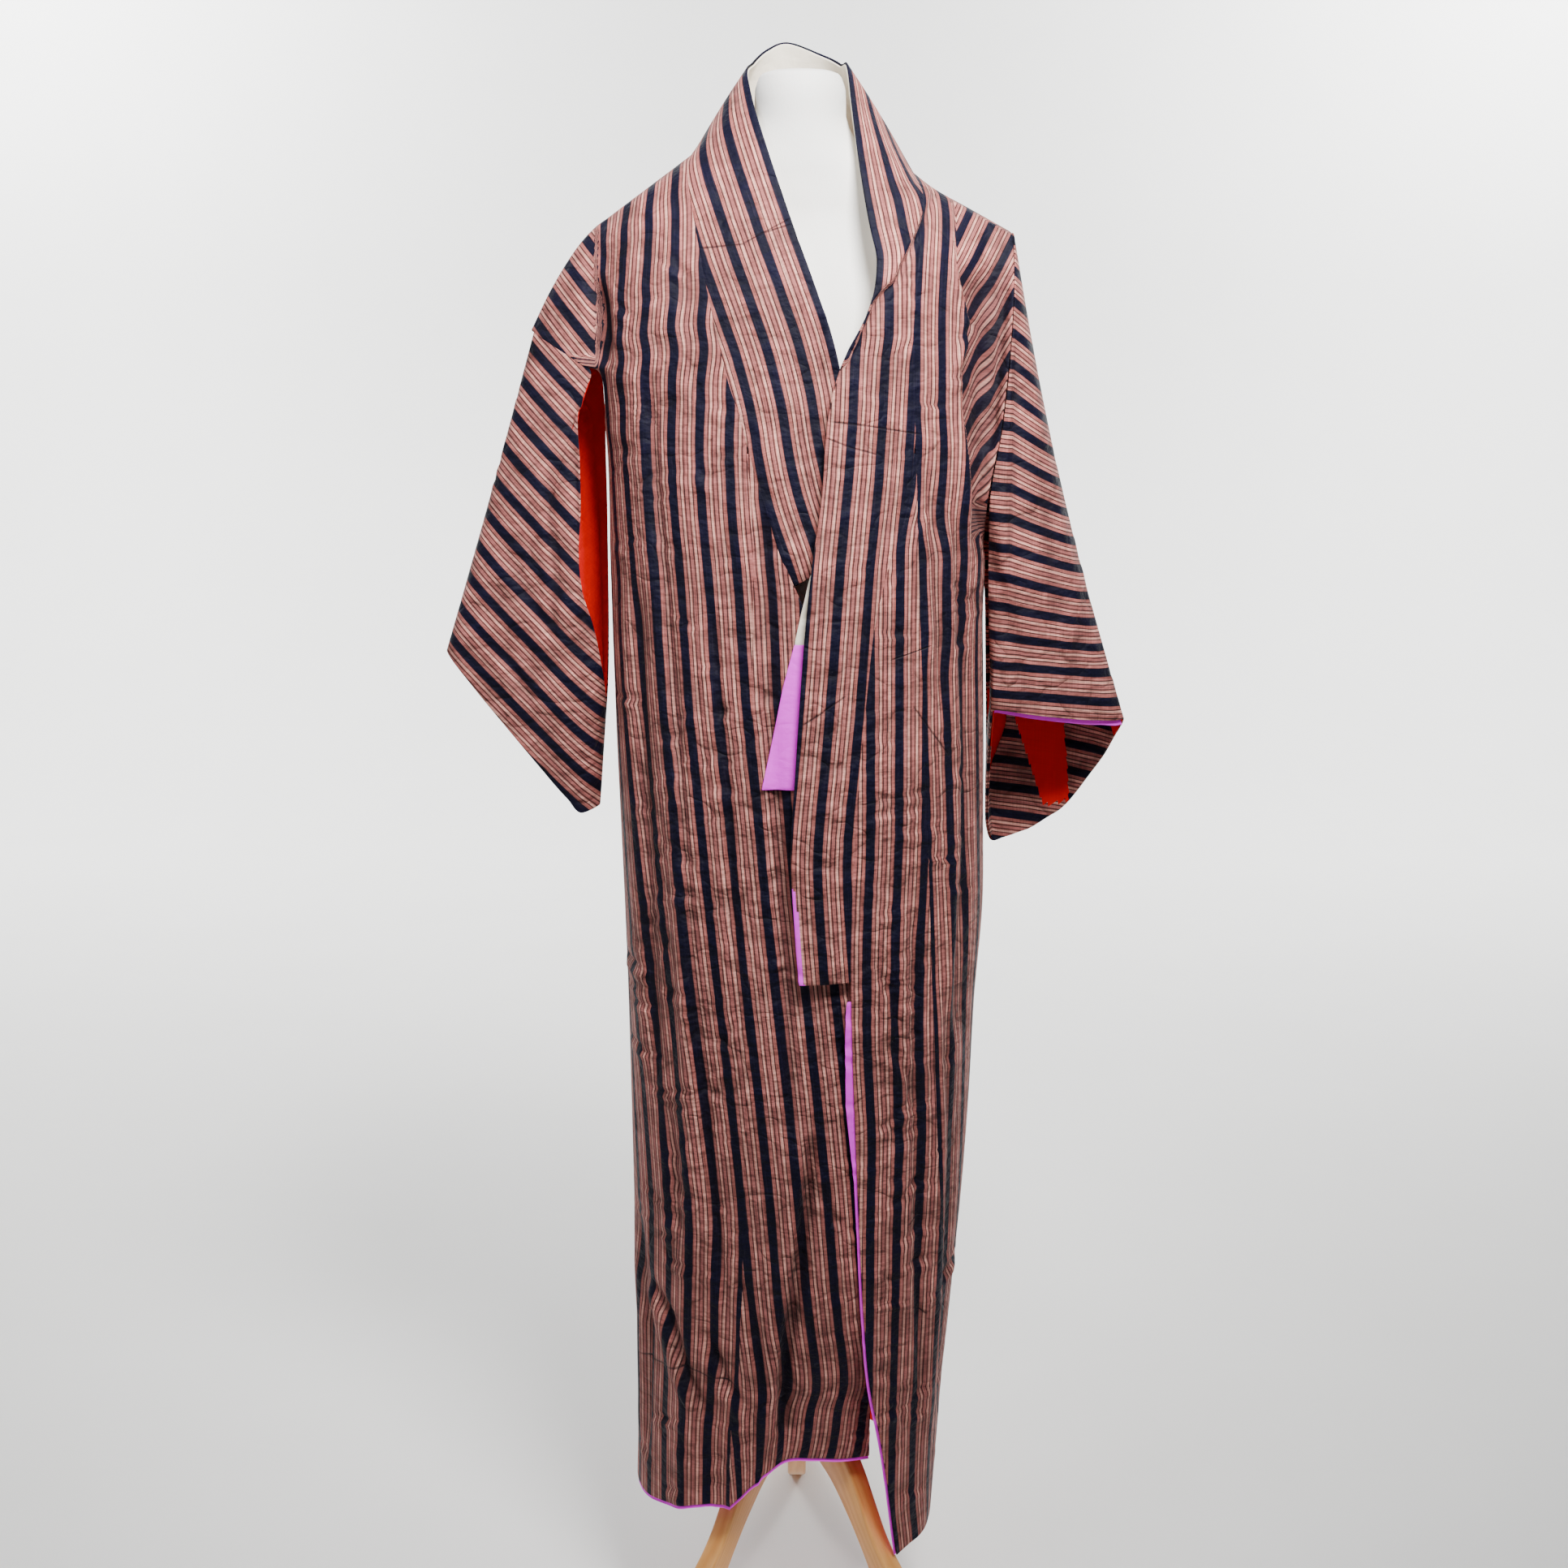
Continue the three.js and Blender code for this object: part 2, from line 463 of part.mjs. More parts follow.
// ---------------------------------------------------------------- dress form and stand
// Form sections: height, half width, front, back.
const FORM = [
  [720, 150, 106, 92], [724, 158, 112, 98], [800, 170, 122, 108], [860, 172, 122, 110], [940, 164, 116, 104],
  [1040, 150, 106, 90], [1120, 142, 100, 82], [1200, 148, 102, 84], [1280, 162, 108, 92],
  [1358, 168, 104, 92], [1428, 176, 88, 86], [1478, 182, 68, 70], [1502, 180, 58, 60], [1520, 164, 52, 54],
  [1538, 138, 50, 54], [1556, 108, 48, 54], [1572, 80, 47, 52], [1588, 59, 45, 49], [1608, 46, 43, 45],
  [1645, 42, 41, 41], [1653, 38, 37, 37], [1656, 31, 30, 30],
];
const FORM_LOOP = 28;
function formGeometry() {
  const points = [], faces = [], n = FORM_LOOP;
  for (const [z, a, f, b] of FORM)
    for (let i = 0; i < n; i++) {
      const t = (i / n) * 2 * Math.PI, s = Math.sin(t);
      points.push(a * Math.cos(t), s < 0 ? f * s : b * s, z);
    }
  const rings = FORM.length;
  for (let j = 0; j < rings - 1; j++)
    for (let i = 0; i < n; i++) {
      const a = j * n + i, b = j * n + ((i + 1) % n);
      faces.push(a, b, b + n, a, b + n, a + n);
    }
  for (const [j, up] of [[0, false], [rings - 1, true]]) {
    const c = points.length / 3;
    points.push(0, 0, FORM[j][0]);
    for (let i = 0; i < n; i++) {
      const a = j * n + i, b = j * n + ((i + 1) % n);
      faces.push(...(up ? [c, a, b] : [c, b, a]));
    }
  }
  const g = new THREE.BufferGeometry();
  g.setAttribute("position", new THREE.Float32BufferAttribute(points, 3));
  g.setIndex(faces);
  return g;
}
function upright(radius, low, high, sides = 20) {
  const g = new THREE.CylinderGeometry(radius, radius, high - low, sides);
  g.rotateX(Math.PI / 2).translate(0, 0, (low + high) / 2);
  return g;
}
// Side outline of a leg: distance from the pole and height, upper edge out, lower edge back.
const LEG_TOP = [[38.3, 256], [66, 238], [92, 206], [112, 170], [130, 138], [150, 113], [175, 93], [205, 73], [240, 51], [270, 32], [290, 18], [294, 0]];
const LEG_UNDER = [[250, 0], [222, 16], [190, 34], [160, 54], [135, 82], [112, 118], [88, 152], [64, 180], [38.3, 200]];
function legGeometry(turn) {
  const shape = new THREE.Shape([...LEG_TOP, ...LEG_UNDER].map(([r, z]) => new THREE.Vector2(r, z)));
  const g = new THREE.ExtrudeGeometry(shape, { depth: LEG_THICK, bevelEnabled: false });
  g.translate(0, 0, -LEG_THICK / 2).rotateX(Math.PI / 2).rotateZ(turn * rad);
  return g;
}

// ---------------------------------------------------------------- the group
const MATERIALS = {
  striped_silk: new THREE.MeshStandardMaterial({ color: 0x8a6460, roughness: 0.8 }),
  red_lining: new THREE.MeshStandardMaterial({ color: 0xc01010, roughness: 0.7 }),
  violet_facing: new THREE.MeshStandardMaterial({ color: 0xe07ae6, roughness: 0.7 }),
  white_lining: new THREE.MeshStandardMaterial({ color: 0xf2ede2, roughness: 0.8 }),
  white_form: new THREE.MeshStandardMaterial({ color: 0xf0eee9, roughness: 0.7 }),
  beech_wood: new THREE.MeshStandardMaterial({ color: 0xe0a04c, roughness: 0.5 }),
  steel_pole: new THREE.MeshStandardMaterial({ color: 0xc8c8c8, roughness: 0.35, metalness: 0.9 }),
};
const group = new THREE.Group();
function put(name, geometry, material) {
  const mesh = new THREE.Mesh(geometry, MATERIALS[material]);
  mesh.name = name;
  group.add(mesh);
}

const look = {
  panel_right: { shared: besideSeam("right") },
  panel_left: { shared: besideSeam("left"), flip: true },
  okumi_right: { shared: okumiShared },
  okumi_left: { shared: okumiShared, flip: true },
  collar: { shared: (j, i) => (i === 0 ? 1 : 0.4) },
  sleeve_right: { loop: true, flip: true },
  sleeve_left: { loop: true },
};
const sheets = {
  panel_right: panelRows.right, panel_left: panelRows.left, okumi_right: okumi.right, okumi_left: okumi.left,
  collar, sleeve_right: sleeveRows("right"), sleeve_left: sleeveRows("left"),
};
const dirs = {};
for (const name in sheets) dirs[name] = wallDirections(sheets[name], look[name]);
const COLLAR_WALL = CLOTH + 0.4;
const cloth = (name, wall = CLOTH) => shell(sheets[name], wall, { ...look[name], own: dirs[name] });

put("body_panel_right", cloth("panel_right"), "striped_silk");
put("body_panel_left", cloth("panel_left"), "striped_silk");
put("overlap_panel_right", cloth("okumi_right"), "striped_silk");
put("overlap_panel_left", cloth("okumi_left"), "striped_silk");
put("collar", cloth("collar", COLLAR_WALL), "striped_silk");
put("sleeve_right", cloth("sleeve_right"), "striped_silk");
put("sleeve_left", cloth("sleeve_left"), "striped_silk");

// Linings: the same sheets again, one lining's space further in.
const some = (name, keep) => ({ rows: sheets[name].filter(keep), own: dirs[name].filter((r, j) => keep(sheets[name][j], j)) });
const lining = (name, keep, inset) => {
  const { rows, own } = some(name, keep);
  return shell(rows, LINING, { ...look[name], own, inset });
};
put("sleeve_right_lining", lining("sleeve_right", (r, j) => j >= 1 && j <= 5, CLOTH + SEAM), "red_lining");
put("sleeve_left_lining", lining("sleeve_left", (r, j) => j >= 5, CLOTH + SEAM), "red_lining");
put("collar_lining", lining("collar", (r) => r[COLLAR_ACROSS][2] > 1560, COLLAR_WALL + SEAM), "white_lining");

const hem = (from, to) => ({ pick: (rows) => rows.slice(0, 2).map((r) => r.slice(from, to)), extra: lower });
put("hem_facing_right", behind(panelRows.right, dirs.panel_right, LINING, hem(0, ACROSS + 1)), "violet_facing");
put("hem_facing_left", behind(panelRows.left, dirs.panel_left, LINING, { ...hem(0, ACROSS - 1), flip: true }), "violet_facing");
put("hem_facing_overlap", behind(okumi.right, dirs.okumi_right, LINING, hem(0, OKUMI_ACROSS + 1)), "violet_facing");
put("edge_facing_left", edgeFacing(dirs.okumi_left), "violet_facing");
const CUFF_FRONT = 12; // points of the loop along the front of the cuff
put(
  "cuff_facing_left",
  behind(sheets.sleeve_left, dirs.sleeve_left, LINING, {
    pick: (rows) => rows.slice(SLEEVE_ROWS - 1).map((r) => r.slice(0, CUFF_FRONT)),
    extra: (part) => part[1].map((p, i) => add(p, unit(sub(p, part[0][i])), FUKI + 2)),
    last: true,
    inset: CLOTH + LINING + 2 * SEAM,
  }),
  "violet_facing",
);
put("collar_end_white", shell(turnedRows([1122.3, 1150, 1184], 2.5), CLOTH, { shared: () => 1 }), "white_lining");
put("collar_end_violet", shell(turnedRows([981, 1020, 1080, 1122], 2.5), CLOTH, { shared: () => 1 }), "violet_facing");

put("form_torso", formGeometry(), "white_form");
put("form_pole", upright(16, HUB_Z[1] + SEAM, FORM[0][0] - SEAM), "steel_pole");
put("stand_hub", upright(38, HUB_Z[0], HUB_Z[1], 28), "beech_wood");
["leg_left", "leg_right", "leg_rear"].forEach((name, i) => put(name, legGeometry(LEG_TURNS[i]), "beech_wood"));

// The part's origin is the middle of its footprint, on the floor.
const box = new THREE.Box3().setFromObject(group);
group.position.set(-(box.min.x + box.max.x) / 2, -(box.min.y + box.max.y) / 2, -box.min.z);

export default group;
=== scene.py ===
# %% [markdown]
# # A striped kimono on a dress form
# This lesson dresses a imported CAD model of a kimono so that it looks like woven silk. The
# kimono is cut from straight lengths of cloth: two long body panels that run over the
# shoulders, two narrow overlap panels in front, two bag sleeves and one long collar strip.
# Every sheet here follows the same short tables of sizes as the solids, only with a finer
# grid, soft creases, rounded edges and woven materials.

# %% Load the frame and keep the size of the solids
import math
from itertools import chain
import bpy
import numpy as np
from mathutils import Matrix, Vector


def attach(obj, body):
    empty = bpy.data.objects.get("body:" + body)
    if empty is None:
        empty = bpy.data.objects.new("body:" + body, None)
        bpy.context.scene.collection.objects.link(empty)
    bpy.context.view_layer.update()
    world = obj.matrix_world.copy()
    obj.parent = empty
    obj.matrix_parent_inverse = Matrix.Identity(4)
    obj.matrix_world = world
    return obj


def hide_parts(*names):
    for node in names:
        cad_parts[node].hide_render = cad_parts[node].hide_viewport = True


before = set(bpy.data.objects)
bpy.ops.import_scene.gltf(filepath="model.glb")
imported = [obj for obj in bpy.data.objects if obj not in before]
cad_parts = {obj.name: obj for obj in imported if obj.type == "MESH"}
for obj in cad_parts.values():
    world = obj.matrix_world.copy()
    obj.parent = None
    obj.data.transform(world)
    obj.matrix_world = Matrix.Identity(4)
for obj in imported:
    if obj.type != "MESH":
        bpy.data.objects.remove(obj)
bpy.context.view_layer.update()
MM = 0.001
SHIFT = np.array([13.5, -35.74, 0.0])  # from the tables' middle to the row frame, in mm

# %% [markdown]
# ## Camera
# The camera stands in front at chest height and looks a little down, so the shoulders show
# from above and the hem from the front. It is made first, because nothing else depends on it.

# %% Camera
eye = bpy.data.cameras.new("eye")
eye.lens = 44.72
eye.sensor_width = 36
camera = bpy.data.objects.new("camera", eye)
camera.location = (-0.0021, -2.01174, 1.404)
camera.rotation_euler = (math.radians(77.2), 0, 0)
bpy.context.scene.collection.objects.link(camera)
bpy.context.scene.camera = camera

# %% [markdown]
# ## Small helpers
# A table is a list of rows, and a function reads it at any key. Straight reading keeps a cut
# edge straight; a smooth curve through the rows suits a body or a turned leg, where straight
# pieces would show as kinks in the gloss.

# %% Reading tables and mixing points
def read(table, keys, column=1):
    return np.interp(keys, [r[0] for r in table], [r[column] for r in table])


def at(table, key, column=1):
    return float(read(table, key, column))


def point(table, key):
    return np.array([at(table, key, c) for c in (1, 2, 3)])


def running(steps):
    """Distance from the start for each point of a line with these steps."""
    return np.concatenate([[0], np.cumsum(steps)])


def mix(a, b, t):
    return a + (b - a) * t


def smooth(a, b, x):
    t = np.clip((np.asarray(x, float) - a) / (b - a), 0, 1)
    return t * t * (3 - 2 * t)


def unit(v):
    v = np.asarray(v, float)
    return v / np.maximum(np.linalg.norm(v, axis=-1, keepdims=True), 1e-9)


def slopes(knots, values):
    """Slopes of a smooth curve through values at uneven knots, along the first axis."""
    step = np.diff(knots)
    rise = np.diff(values, axis=0) / step.reshape(-1, *[1] * (values.ndim - 1))
    out = np.empty_like(values)
    out[0], out[-1] = rise[0], rise[-1]
    w = step.reshape(-1, *[1] * (values.ndim - 1))
    out[1:-1] = (rise[:-1] * w[1:] + rise[1:] * w[:-1]) / (w[:-1] + w[1:])
    return out


def through(knots, values, keys):
    """Points of the smooth curve at keys."""
    knots, keys = np.asarray(knots, float), np.asarray(keys, float)
    m = slopes(knots, values)
    k = np.clip(np.searchsorted(knots, keys, side="right") - 1, 0, len(knots) - 2)
    h = knots[k + 1] - knots[k]
    shape = (-1, *[1] * (values.ndim - 1))
    t = ((keys - knots[k]) / h).reshape(shape)
    h = h.reshape(shape)
    return (values[k] * (1 + 2 * t) * (1 - t) ** 2 + m[k] * h * t * (1 - t) ** 2
            + values[k + 1] * t * t * (3 - 2 * t) + m[k + 1] * h * t * t * (t - 1))


def spread(length, count):
    return np.linspace(0, length, count)


# %% [markdown]
# ## Tables of the worn kimono
# These are the sizes that the solids were made from, in millimetres. "Right" and "left" are
# the wearer's. Heights come first in each row, then the places across.

# %% Sizes: body, shoulders, arms and neck
CLOTH, LINING, SEAM, LAP, FUKI = 2.0, 1.2, 0.3, 10, 4
BODY = [[90, 175, 140, 132, 126], [171, 181, 145, 134, 128], [272, 177, 153, 136, 127],
        [371, 178, 162, 137, 126], [564, 179, 177, 138, 124], [748, 181, 183, 138, 124],
        [837, 183, 189, 138, 124], [1012, 188, 186, 138, 124], [1179, 191, 181, 134, 120],
        [1250, 191, 179, 129, 115], [1300, 191, 179, 126, 112], [1370, 193, 181, 118, 106]]
RIDGE = {"right": [[60, 1604], [104, 1582], [147, 1551], [209, 1507], [240, 1464], [265, 1416]],
         "left": [[60, 1596], [112, 1562], [130, 1549], [165, 1531], [206, 1509]]}
ARM = {"right": {"z": 1370, "out": [[0, 193], [1, 265]], "tip": 1416, "deep": 40},
       "left": {"z": 1250, "out": [[0, 183], [0.2, 192], [0.5, 201], [0.8, 206], [1, 206]],
                "tip": 1509, "deep": 54}}
NECK_FRONT = {
    "right": [[1370, -69, -112], [1419, -81, -102], [1489, -96, -81], [1558, -108, -48],
              [1576, -108, -20], [1582, -104, 5]],
    "left": [[1250, 106, -120], [1317, 104, -115], [1382, 105, -108], [1434, 107, -100],
             [1479, 111, -87], [1530, 115, -58], [1552, 115, -26], [1562, 112, 5]]}
NECK_BACK = {
    "right": [[0, -104, 5, 1582], [0.35, -84, 48, 1594], [0.7, -44, 76, 1603], [1, -0.2, 86, 1606]],
    "left": [[0, 112, 5, 1562], [0.35, 90, 48, 1584], [0.7, 46, 76, 1600], [1, 0.2, 86, 1606]]}
OKUMI_SEAM = {
    "right": [[150, -74], [250, -70], [400, -61], [700, -52], [1000, -47], [1195, -45],
              [1260, -47], [1318, -53], [1370, -69]],
    "left": [[120, 135], [253, 141], [400, 143], [560, 138], [728, 131], [920, 122],
             [1150, 110], [1317, 104]]}
OKUMI_EDGE = {
    "right": [[200, 76], [500, 78], [900, 62], [985, 30], [1030, 24], [1080, 18], [1133, 11],
              [1195, -14], [1270, -39], [1300, -48], [1318, -52]],
    "left": [[90, 104], [121, 98], [253, 82], [350, 71], [444, 63], [624, 55], [728, 51],
             [787, 48], [920, 51], [1040, 58], [1149, 70], [1186, 78], [1252, 98],
             [1300, 102.5], [1317, 104]]}
HEM = {"right": [[-190, 166], [-167, 168], [-116, 186], [-74, 194]],
       "left": [[98, 122], [150, 142]],
       "okumi_right": [[-74, 194], [-60, 214], [-45, 228], [-12, 240], [27, 236], [70, 230]]}
BACK_HEM = 162
HEM_REACH = 330  # below this height the rows bend down to follow the slanting hem
NAPE = (0.2, 86, 1606)  # the neck's lowest point behind, from the back seam outwards
NECK_FROM, NECK_REST = 0.55, 0.45  # the neck takes up the last part of the back rows

# %% Sizes: collar, folds, rows and sleeves
COLLAR_EDGE = {
    "right": [[1133, 88, -121, 1168], [1195, 68, -125, 1238], [1270, 47, -124, 1305],
              [1345, 36, -119, 1384], [1419, 12, -107, 1455], [1489, -12, -84, 1520],
              [1558, -36, -50, 1592], [1576, -48, -16, 1632], [1582, -52, 10, 1654]],
    "left": [[787, 0, -151, 787], [839, -4, -152, 839], [913, -8, -152, 913],
             [962, -6, -151, 962], [1041, -1, -150, 1041], [1119, 4, -148, 1122],
             [1196, 13, -146, 1206], [1250, 21, -141, 1262], [1317, 26, -135, 1335],
             [1382, 42, -126, 1390], [1434, 64, -117, 1432], [1479, 71, -104, 1476],
             [1530, 62, -84, 1526], [1552, 52, -40, 1600], [1562, 48, 10, 1654]]}
COLLAR_TOP = {
    "right": [[0, -52, 10, 1654], [0.35, -46, 46, 1672], [0.7, -31, 62, 1686], [1, -12, 68, 1692]],
    "left": [[0, 48, 10, 1654], [0.35, 40, 46, 1670], [0.7, 18, 64, 1682], [1, -12, 68, 1692]]}
FOLDS = [
    (True, [[150, -128], [700, -112], [1300, -118]], 20, 6, 1180),
    (True, [[150, -92], [700, -84], [1200, -72]], 15, -5, 1080),
    (True, [[234, -58], [328, -48], [479, -21], [622, 8]], 20, 9, 600),
    (True, [[150, 128], [700, 150], [1200, 152]], 18, 5, 1040),
    (False, [[120, -120], [1300, -104]], 26, 11, 1180),
    (False, [[120, -62], [1300, -60]], 24, -9, 1220),
    (False, [[120, 48], [1300, 54]], 26, 10, 1150),
    (False, [[120, 112], [1300, 104]], 24, -8, 1240)]
LEVELS = [0, 250, 330, 420, 520, 622, 728, 837, 920, 1000, 1080, 1133, 1195, 1250]
ACROSS, OKUMI_ACROSS, COLLAR_ACROSS = 11, 5, 3
OVERLAP_LEVELS = LEVELS + [1300]
SIDE_ANGLE = {"right": 187, "left": -9}
SIGN = {"right": -1, "left": 1}
HIGH_FRONT = {"right": [0, 0.16, 0.32, 0.48, 0.64, 0.8, 0.92],
              "left": [0, 0.15, 0.28, 0.4, 0.52, 0.64, 0.78, 0.91]}
HIGH_BACK = [0, 0.18, 0.36, 0.55, 0.7, 0.85]
SLEEVE_ROWS, SLEEVE_LOOP = 9, 26
SLEEVES = {
    "right": dict(
        sewn=(0.04, 0.17), start=0.3, away=(-0.539, 0, -0.843), apart=0.8, swell=8, sag=0,
        seam=[[0.17, -216, -42, 1370], [0.27, -217, -42, 1240], [0.33, -221, -40, 1172],
              [0.38, -208, -34, 1130], [0.44, -197, -20, 1062], [0.5, -199, 0, 1030],
              [0.56, -198, 26, 1062], [0.62, -198, 42, 1130], [0.73, -198, 46, 1240],
              [0.83, -199, 44, 1370]],
        cuff=[[0, -361, 0, 1096], [0.05, -354, -12, 1087], [0.16, -322, -18, 1047],
              [0.3, -280, -19, 994], [0.4, -248, -17, 953], [0.46, -226, -12, 927],
              [0.5, -207, 0, 934], [0.54, -222, 12, 930], [0.6, -248, 18, 957],
              [0.7, -280, 18, 998], [0.84, -322, 18, 1051], [0.95, -354, 12, 1089],
              [1, -361, 0, 1096]]),
    "left": dict(
        sewn=(0.015, 0.27), start=0.06, away=(1, 0, 0), apart=2.5, swell=10, sag=9,
        seam=[[0.27, 186, -50, 1250], [0.36, 188, -42, 1150], [0.43, 192, -36, 1085],
              [0.5, 196, 0, 1040], [0.58, 198, 44, 1000], [0.7, 194, 52, 1150],
              [0.73, 190, 52, 1250]],
        cuff=[[0, 334, -8, 1026], [0.06, 322, -22, 1027], [0.16, 290, -30, 1029],
              [0.28, 245, -36, 1034], [0.38, 208, -40, 1040], [0.43, 194, -38, 1040],
              [0.5, 196, 0, 1000], [0.56, 198, 44, 905], [0.62, 208, 64, 878],
              [0.72, 250, 64, 893], [0.82, 288, 56, 921], [0.93, 322, 22, 985],
              [1, 334, -8, 1026]])}


# %% [markdown]
# ## The worn surface
# A cross-section of the body is a soft oval: narrower in front and behind than an ellipse, as
# cloth hanging over a form is. Long folds are added as ridges and hollows that die out upwards.

# %% A point on the worn surface
def section(z, angle):
    c, s = math.cos(math.radians(angle)), math.sin(math.radians(angle))
    a, b = at(BODY, z, 1 if c < 0 else 2), at(BODY, z, 3 if s > 0 else 4)
    return np.array([a * c, -np.sign(s) * b * abs(s) ** 0.9, z])


def fold_depth(x, z, in_front):
    total = 0.0
    for side, line, half, deep, top in FOLDS:
        t = abs(x - at(line, z)) / half
        if side == in_front and t < 1:
            total += deep * (0.5 + 0.5 * math.cos(math.pi * t)) * (1 - smooth(top - 420, top, z))
    return total


def angle_of(x, z):
    share = x / at(BODY, z, 1 if x < 0 else 2)
    return math.degrees(math.acos(max(-1.0, min(1.0, share))))


def front(x, z, out=0.0):
    p = section(z, angle_of(x, z))
    return p + unit([p[0] * 0.5, p[1], 0]) * (out + fold_depth(x, z, True))


def outward(p):
    """Direction that all walls beside a seam share, for points in the last axis."""
    p = np.asarray(p, float)
    core = np.stack([np.clip(p[..., 0], -150, 150) * 0.5, np.zeros(p.shape[:-1]),
                     np.minimum(p[..., 2], 1440)], -1)
    return unit(p - core)


def row_height(level, hem):
    return level if level >= HEM_REACH else mix(hem, HEM_REACH, level / HEM_REACH)


def lap_of(side, x):
    return mix(LAP, 4, float(smooth(110, 175, x))) if side == "left" else 0.0


# %% [markdown]
# ## Rows of a body panel
# The panel is one length of cloth: up the front, over the shoulder and down the back. Below
# the arm each row follows the oval of the body; above it the rows rise to the shoulder line.

# %% Rows below the arm and over the shoulder
def low_row(side, level, in_front):
    arm_z, seam_z, row = ARM[side]["z"], max(level, 160), []
    upper_angle = 2 if side == "left" else 178
    side_angle = mix(SIDE_ANGLE[side], upper_angle, float(smooth(1100, 1300, level)))
    end = 270 if side == "right" else -90
    if in_front:
        end = angle_of(at(OKUMI_SEAM[side], seam_z), seam_z)
    apart = (0.35 if side == "left" else 0.2) * SIGN[side]
    for i in range(ACROSS + 1):
        a = mix(side_angle + (apart if in_front else -apart), end, i / ACROSS)
        if not in_front and i == ACROSS:
            a += SIGN[side] * 0.1
        rough = section(seam_z, a)
        hem = at(HEM[side], rough[0])
        if not in_front:
            hem = mix(hem, BACK_HEM, float(smooth(0, 40, rough[1])))
        z = row_height(level, hem)
        p = section(z, a)
        opened = ARM[side]["deep"] * smooth(90, 185, abs(p[0])) * smooth(arm_z - 130, arm_z, z)
        p[1] += (-1 if in_front else 1) * (math.hypot(p[1], opened) - abs(p[1]))
        lap = lap_of(side, p[0]) * (1 if in_front else smooth(60, 0, p[1]))
        fold = fold_depth(p[0], z, in_front) * smooth(0, 2, i + 0.001)
        if not in_front:
            fold *= smooth(0, 3, ACROSS - i)
        p = p + unit([p[0] * 0.5, p[1], 0]) * (lap + fold)
        if in_front and i == ACROSS:
            p = front(rough[0], z, lap_of(side, rough[0]))
        row.append(p)
    return np.array(row)


def high_row(side, t, in_front):
    k, arm = SIGN[side], ARM[side]
    lift, drop = math.sin(math.pi / 2 * t), abs(math.cos(math.pi / 2 * t)) ** 0.8
    x_out = at(arm["out"], lift)
    if in_front:
        zi = mix(arm["z"], at(RIDGE[side], 104 if side == "right" else 112), lift)
        inner = np.array([at(NECK_FRONT[side], zi, 1), at(NECK_FRONT[side], zi, 2), zi])
        seam_x = at(OKUMI_SEAM[side], zi) if zi < 1317 else inner[0]
        inner = mix(front(seam_x, zi, lap_of(side, seam_x)), inner, float(smooth(1318, 1390, zi)))
    elif t > NECK_FROM:
        inner = point(NECK_BACK[side], (1 - t) / NECK_REST)
    else:
        low = section(arm["z"], -90) + np.array([k * NAPE[0], 0, 0])
        nape = np.array([k * NAPE[0], *NAPE[1:]])
        inner = mix(low, nape, math.sin(t / NECK_FROM * math.pi / 2))

    def base(x):
        flank = section(arm["z"], angle_of(x, arm["z"]))
        ratio = at(BODY, arm["z"], 3 if in_front else 4) / at(BODY, arm["z"], 3)
        deep = math.hypot(flank[1] * ratio, arm["deep"] * smooth(90, 185, abs(x)))
        deep += lap_of(side, x) if in_front else 0
        height = mix(arm["z"], at(RIDGE[side], abs(x)), lift)
        return np.array([x, (-1 if in_front else 1) * deep * drop + 5 * (1 - drop), height])

    off = inner - base(inner[0])
    rise = mix(arm["z"], arm["tip"], lift) - base(k * x_out)[2]
    row = []
    for i in range(ACROSS + 1):
        s = i / ACROSS
        p = base(mix(k * x_out, inner[0], s ** 0.92)) + off * s * s
        row.append(p + np.array([0, 0, rise * (1 - s) ** 5]))
    return np.array(row)


def low_levels(side):
    last = [1300, 1318] if side == "right" else []
    return [z for z in LEVELS if z < ARM[side]["z"] - 20] + last


def body_panel(side):
    low, rows = low_levels(side), []
    rows += [low_row(side, z, True) for z in low]
    rows += [high_row(side, t, True) for t in HIGH_FRONT[side]] + [high_row(side, 1, True)]
    rows += [high_row(side, t, False) for t in reversed(HIGH_BACK)]
    rows += [low_row(side, z, False) for z in reversed(low)]
    return np.array(rows)


coarse = {"panel_right": body_panel("right"), "panel_left": body_panel("left")}
top_row = {s: len(low_levels(s)) + len(HIGH_FRONT[s]) for s in ("right", "left")}
print("body panel rows:", {k: v.shape for k, v in coarse.items()})


# %% [markdown]
# ## Overlap panels, collar and sleeves
# The overlap panels widen the fronts. The collar is one strip that is sewn along both overlap
# edges and round the neck. Each sleeve is a flat bag, sewn to the shoulder only part of the way.

# %% Rows of the overlap panels
def okumi_rows(side):
    rows, k = [], 1 if side == "right" else -1
    for level in OVERLAP_LEVELS:
        seam_z, row = max(level, 160), []
        for i in range(OKUMI_ACROSS + 1):
            seam_x, edge_x = at(OKUMI_SEAM[side], seam_z), at(OKUMI_EDGE[side], max(level, 100))
            x = mix(seam_x + k * SEAM, edge_x, i / OKUMI_ACROSS)
            hem = at(HEM["okumi_right" if side == "right" else "left"], x)
            z = row_height(level, hem)
            p = front(x, z, lap_of(side, x) if side == "left" else 0)
            if side == "right":
                p[1] += 34 * smooth(420, 230, z) * smooth(-50, 0, x)
            row.append(p)
        rows.append(row)
    return np.array(rows)


coarse["okumi_right"], coarse["okumi_left"] = okumi_rows("right"), okumi_rows("left")


# %% Rows of the collar
def collar_strip(seam, edge):
    a = seam + unit(edge - seam) * SEAM
    row = [mix(a, edge, i / COLLAR_ACROSS) for i in range(COLLAR_ACROSS + 1)]
    return [p + outward(p) * (3 * math.sin(math.pi * i / COLLAR_ACROSS) + 0.4 * i / COLLAR_ACROSS)
            for i, p in enumerate(row)]


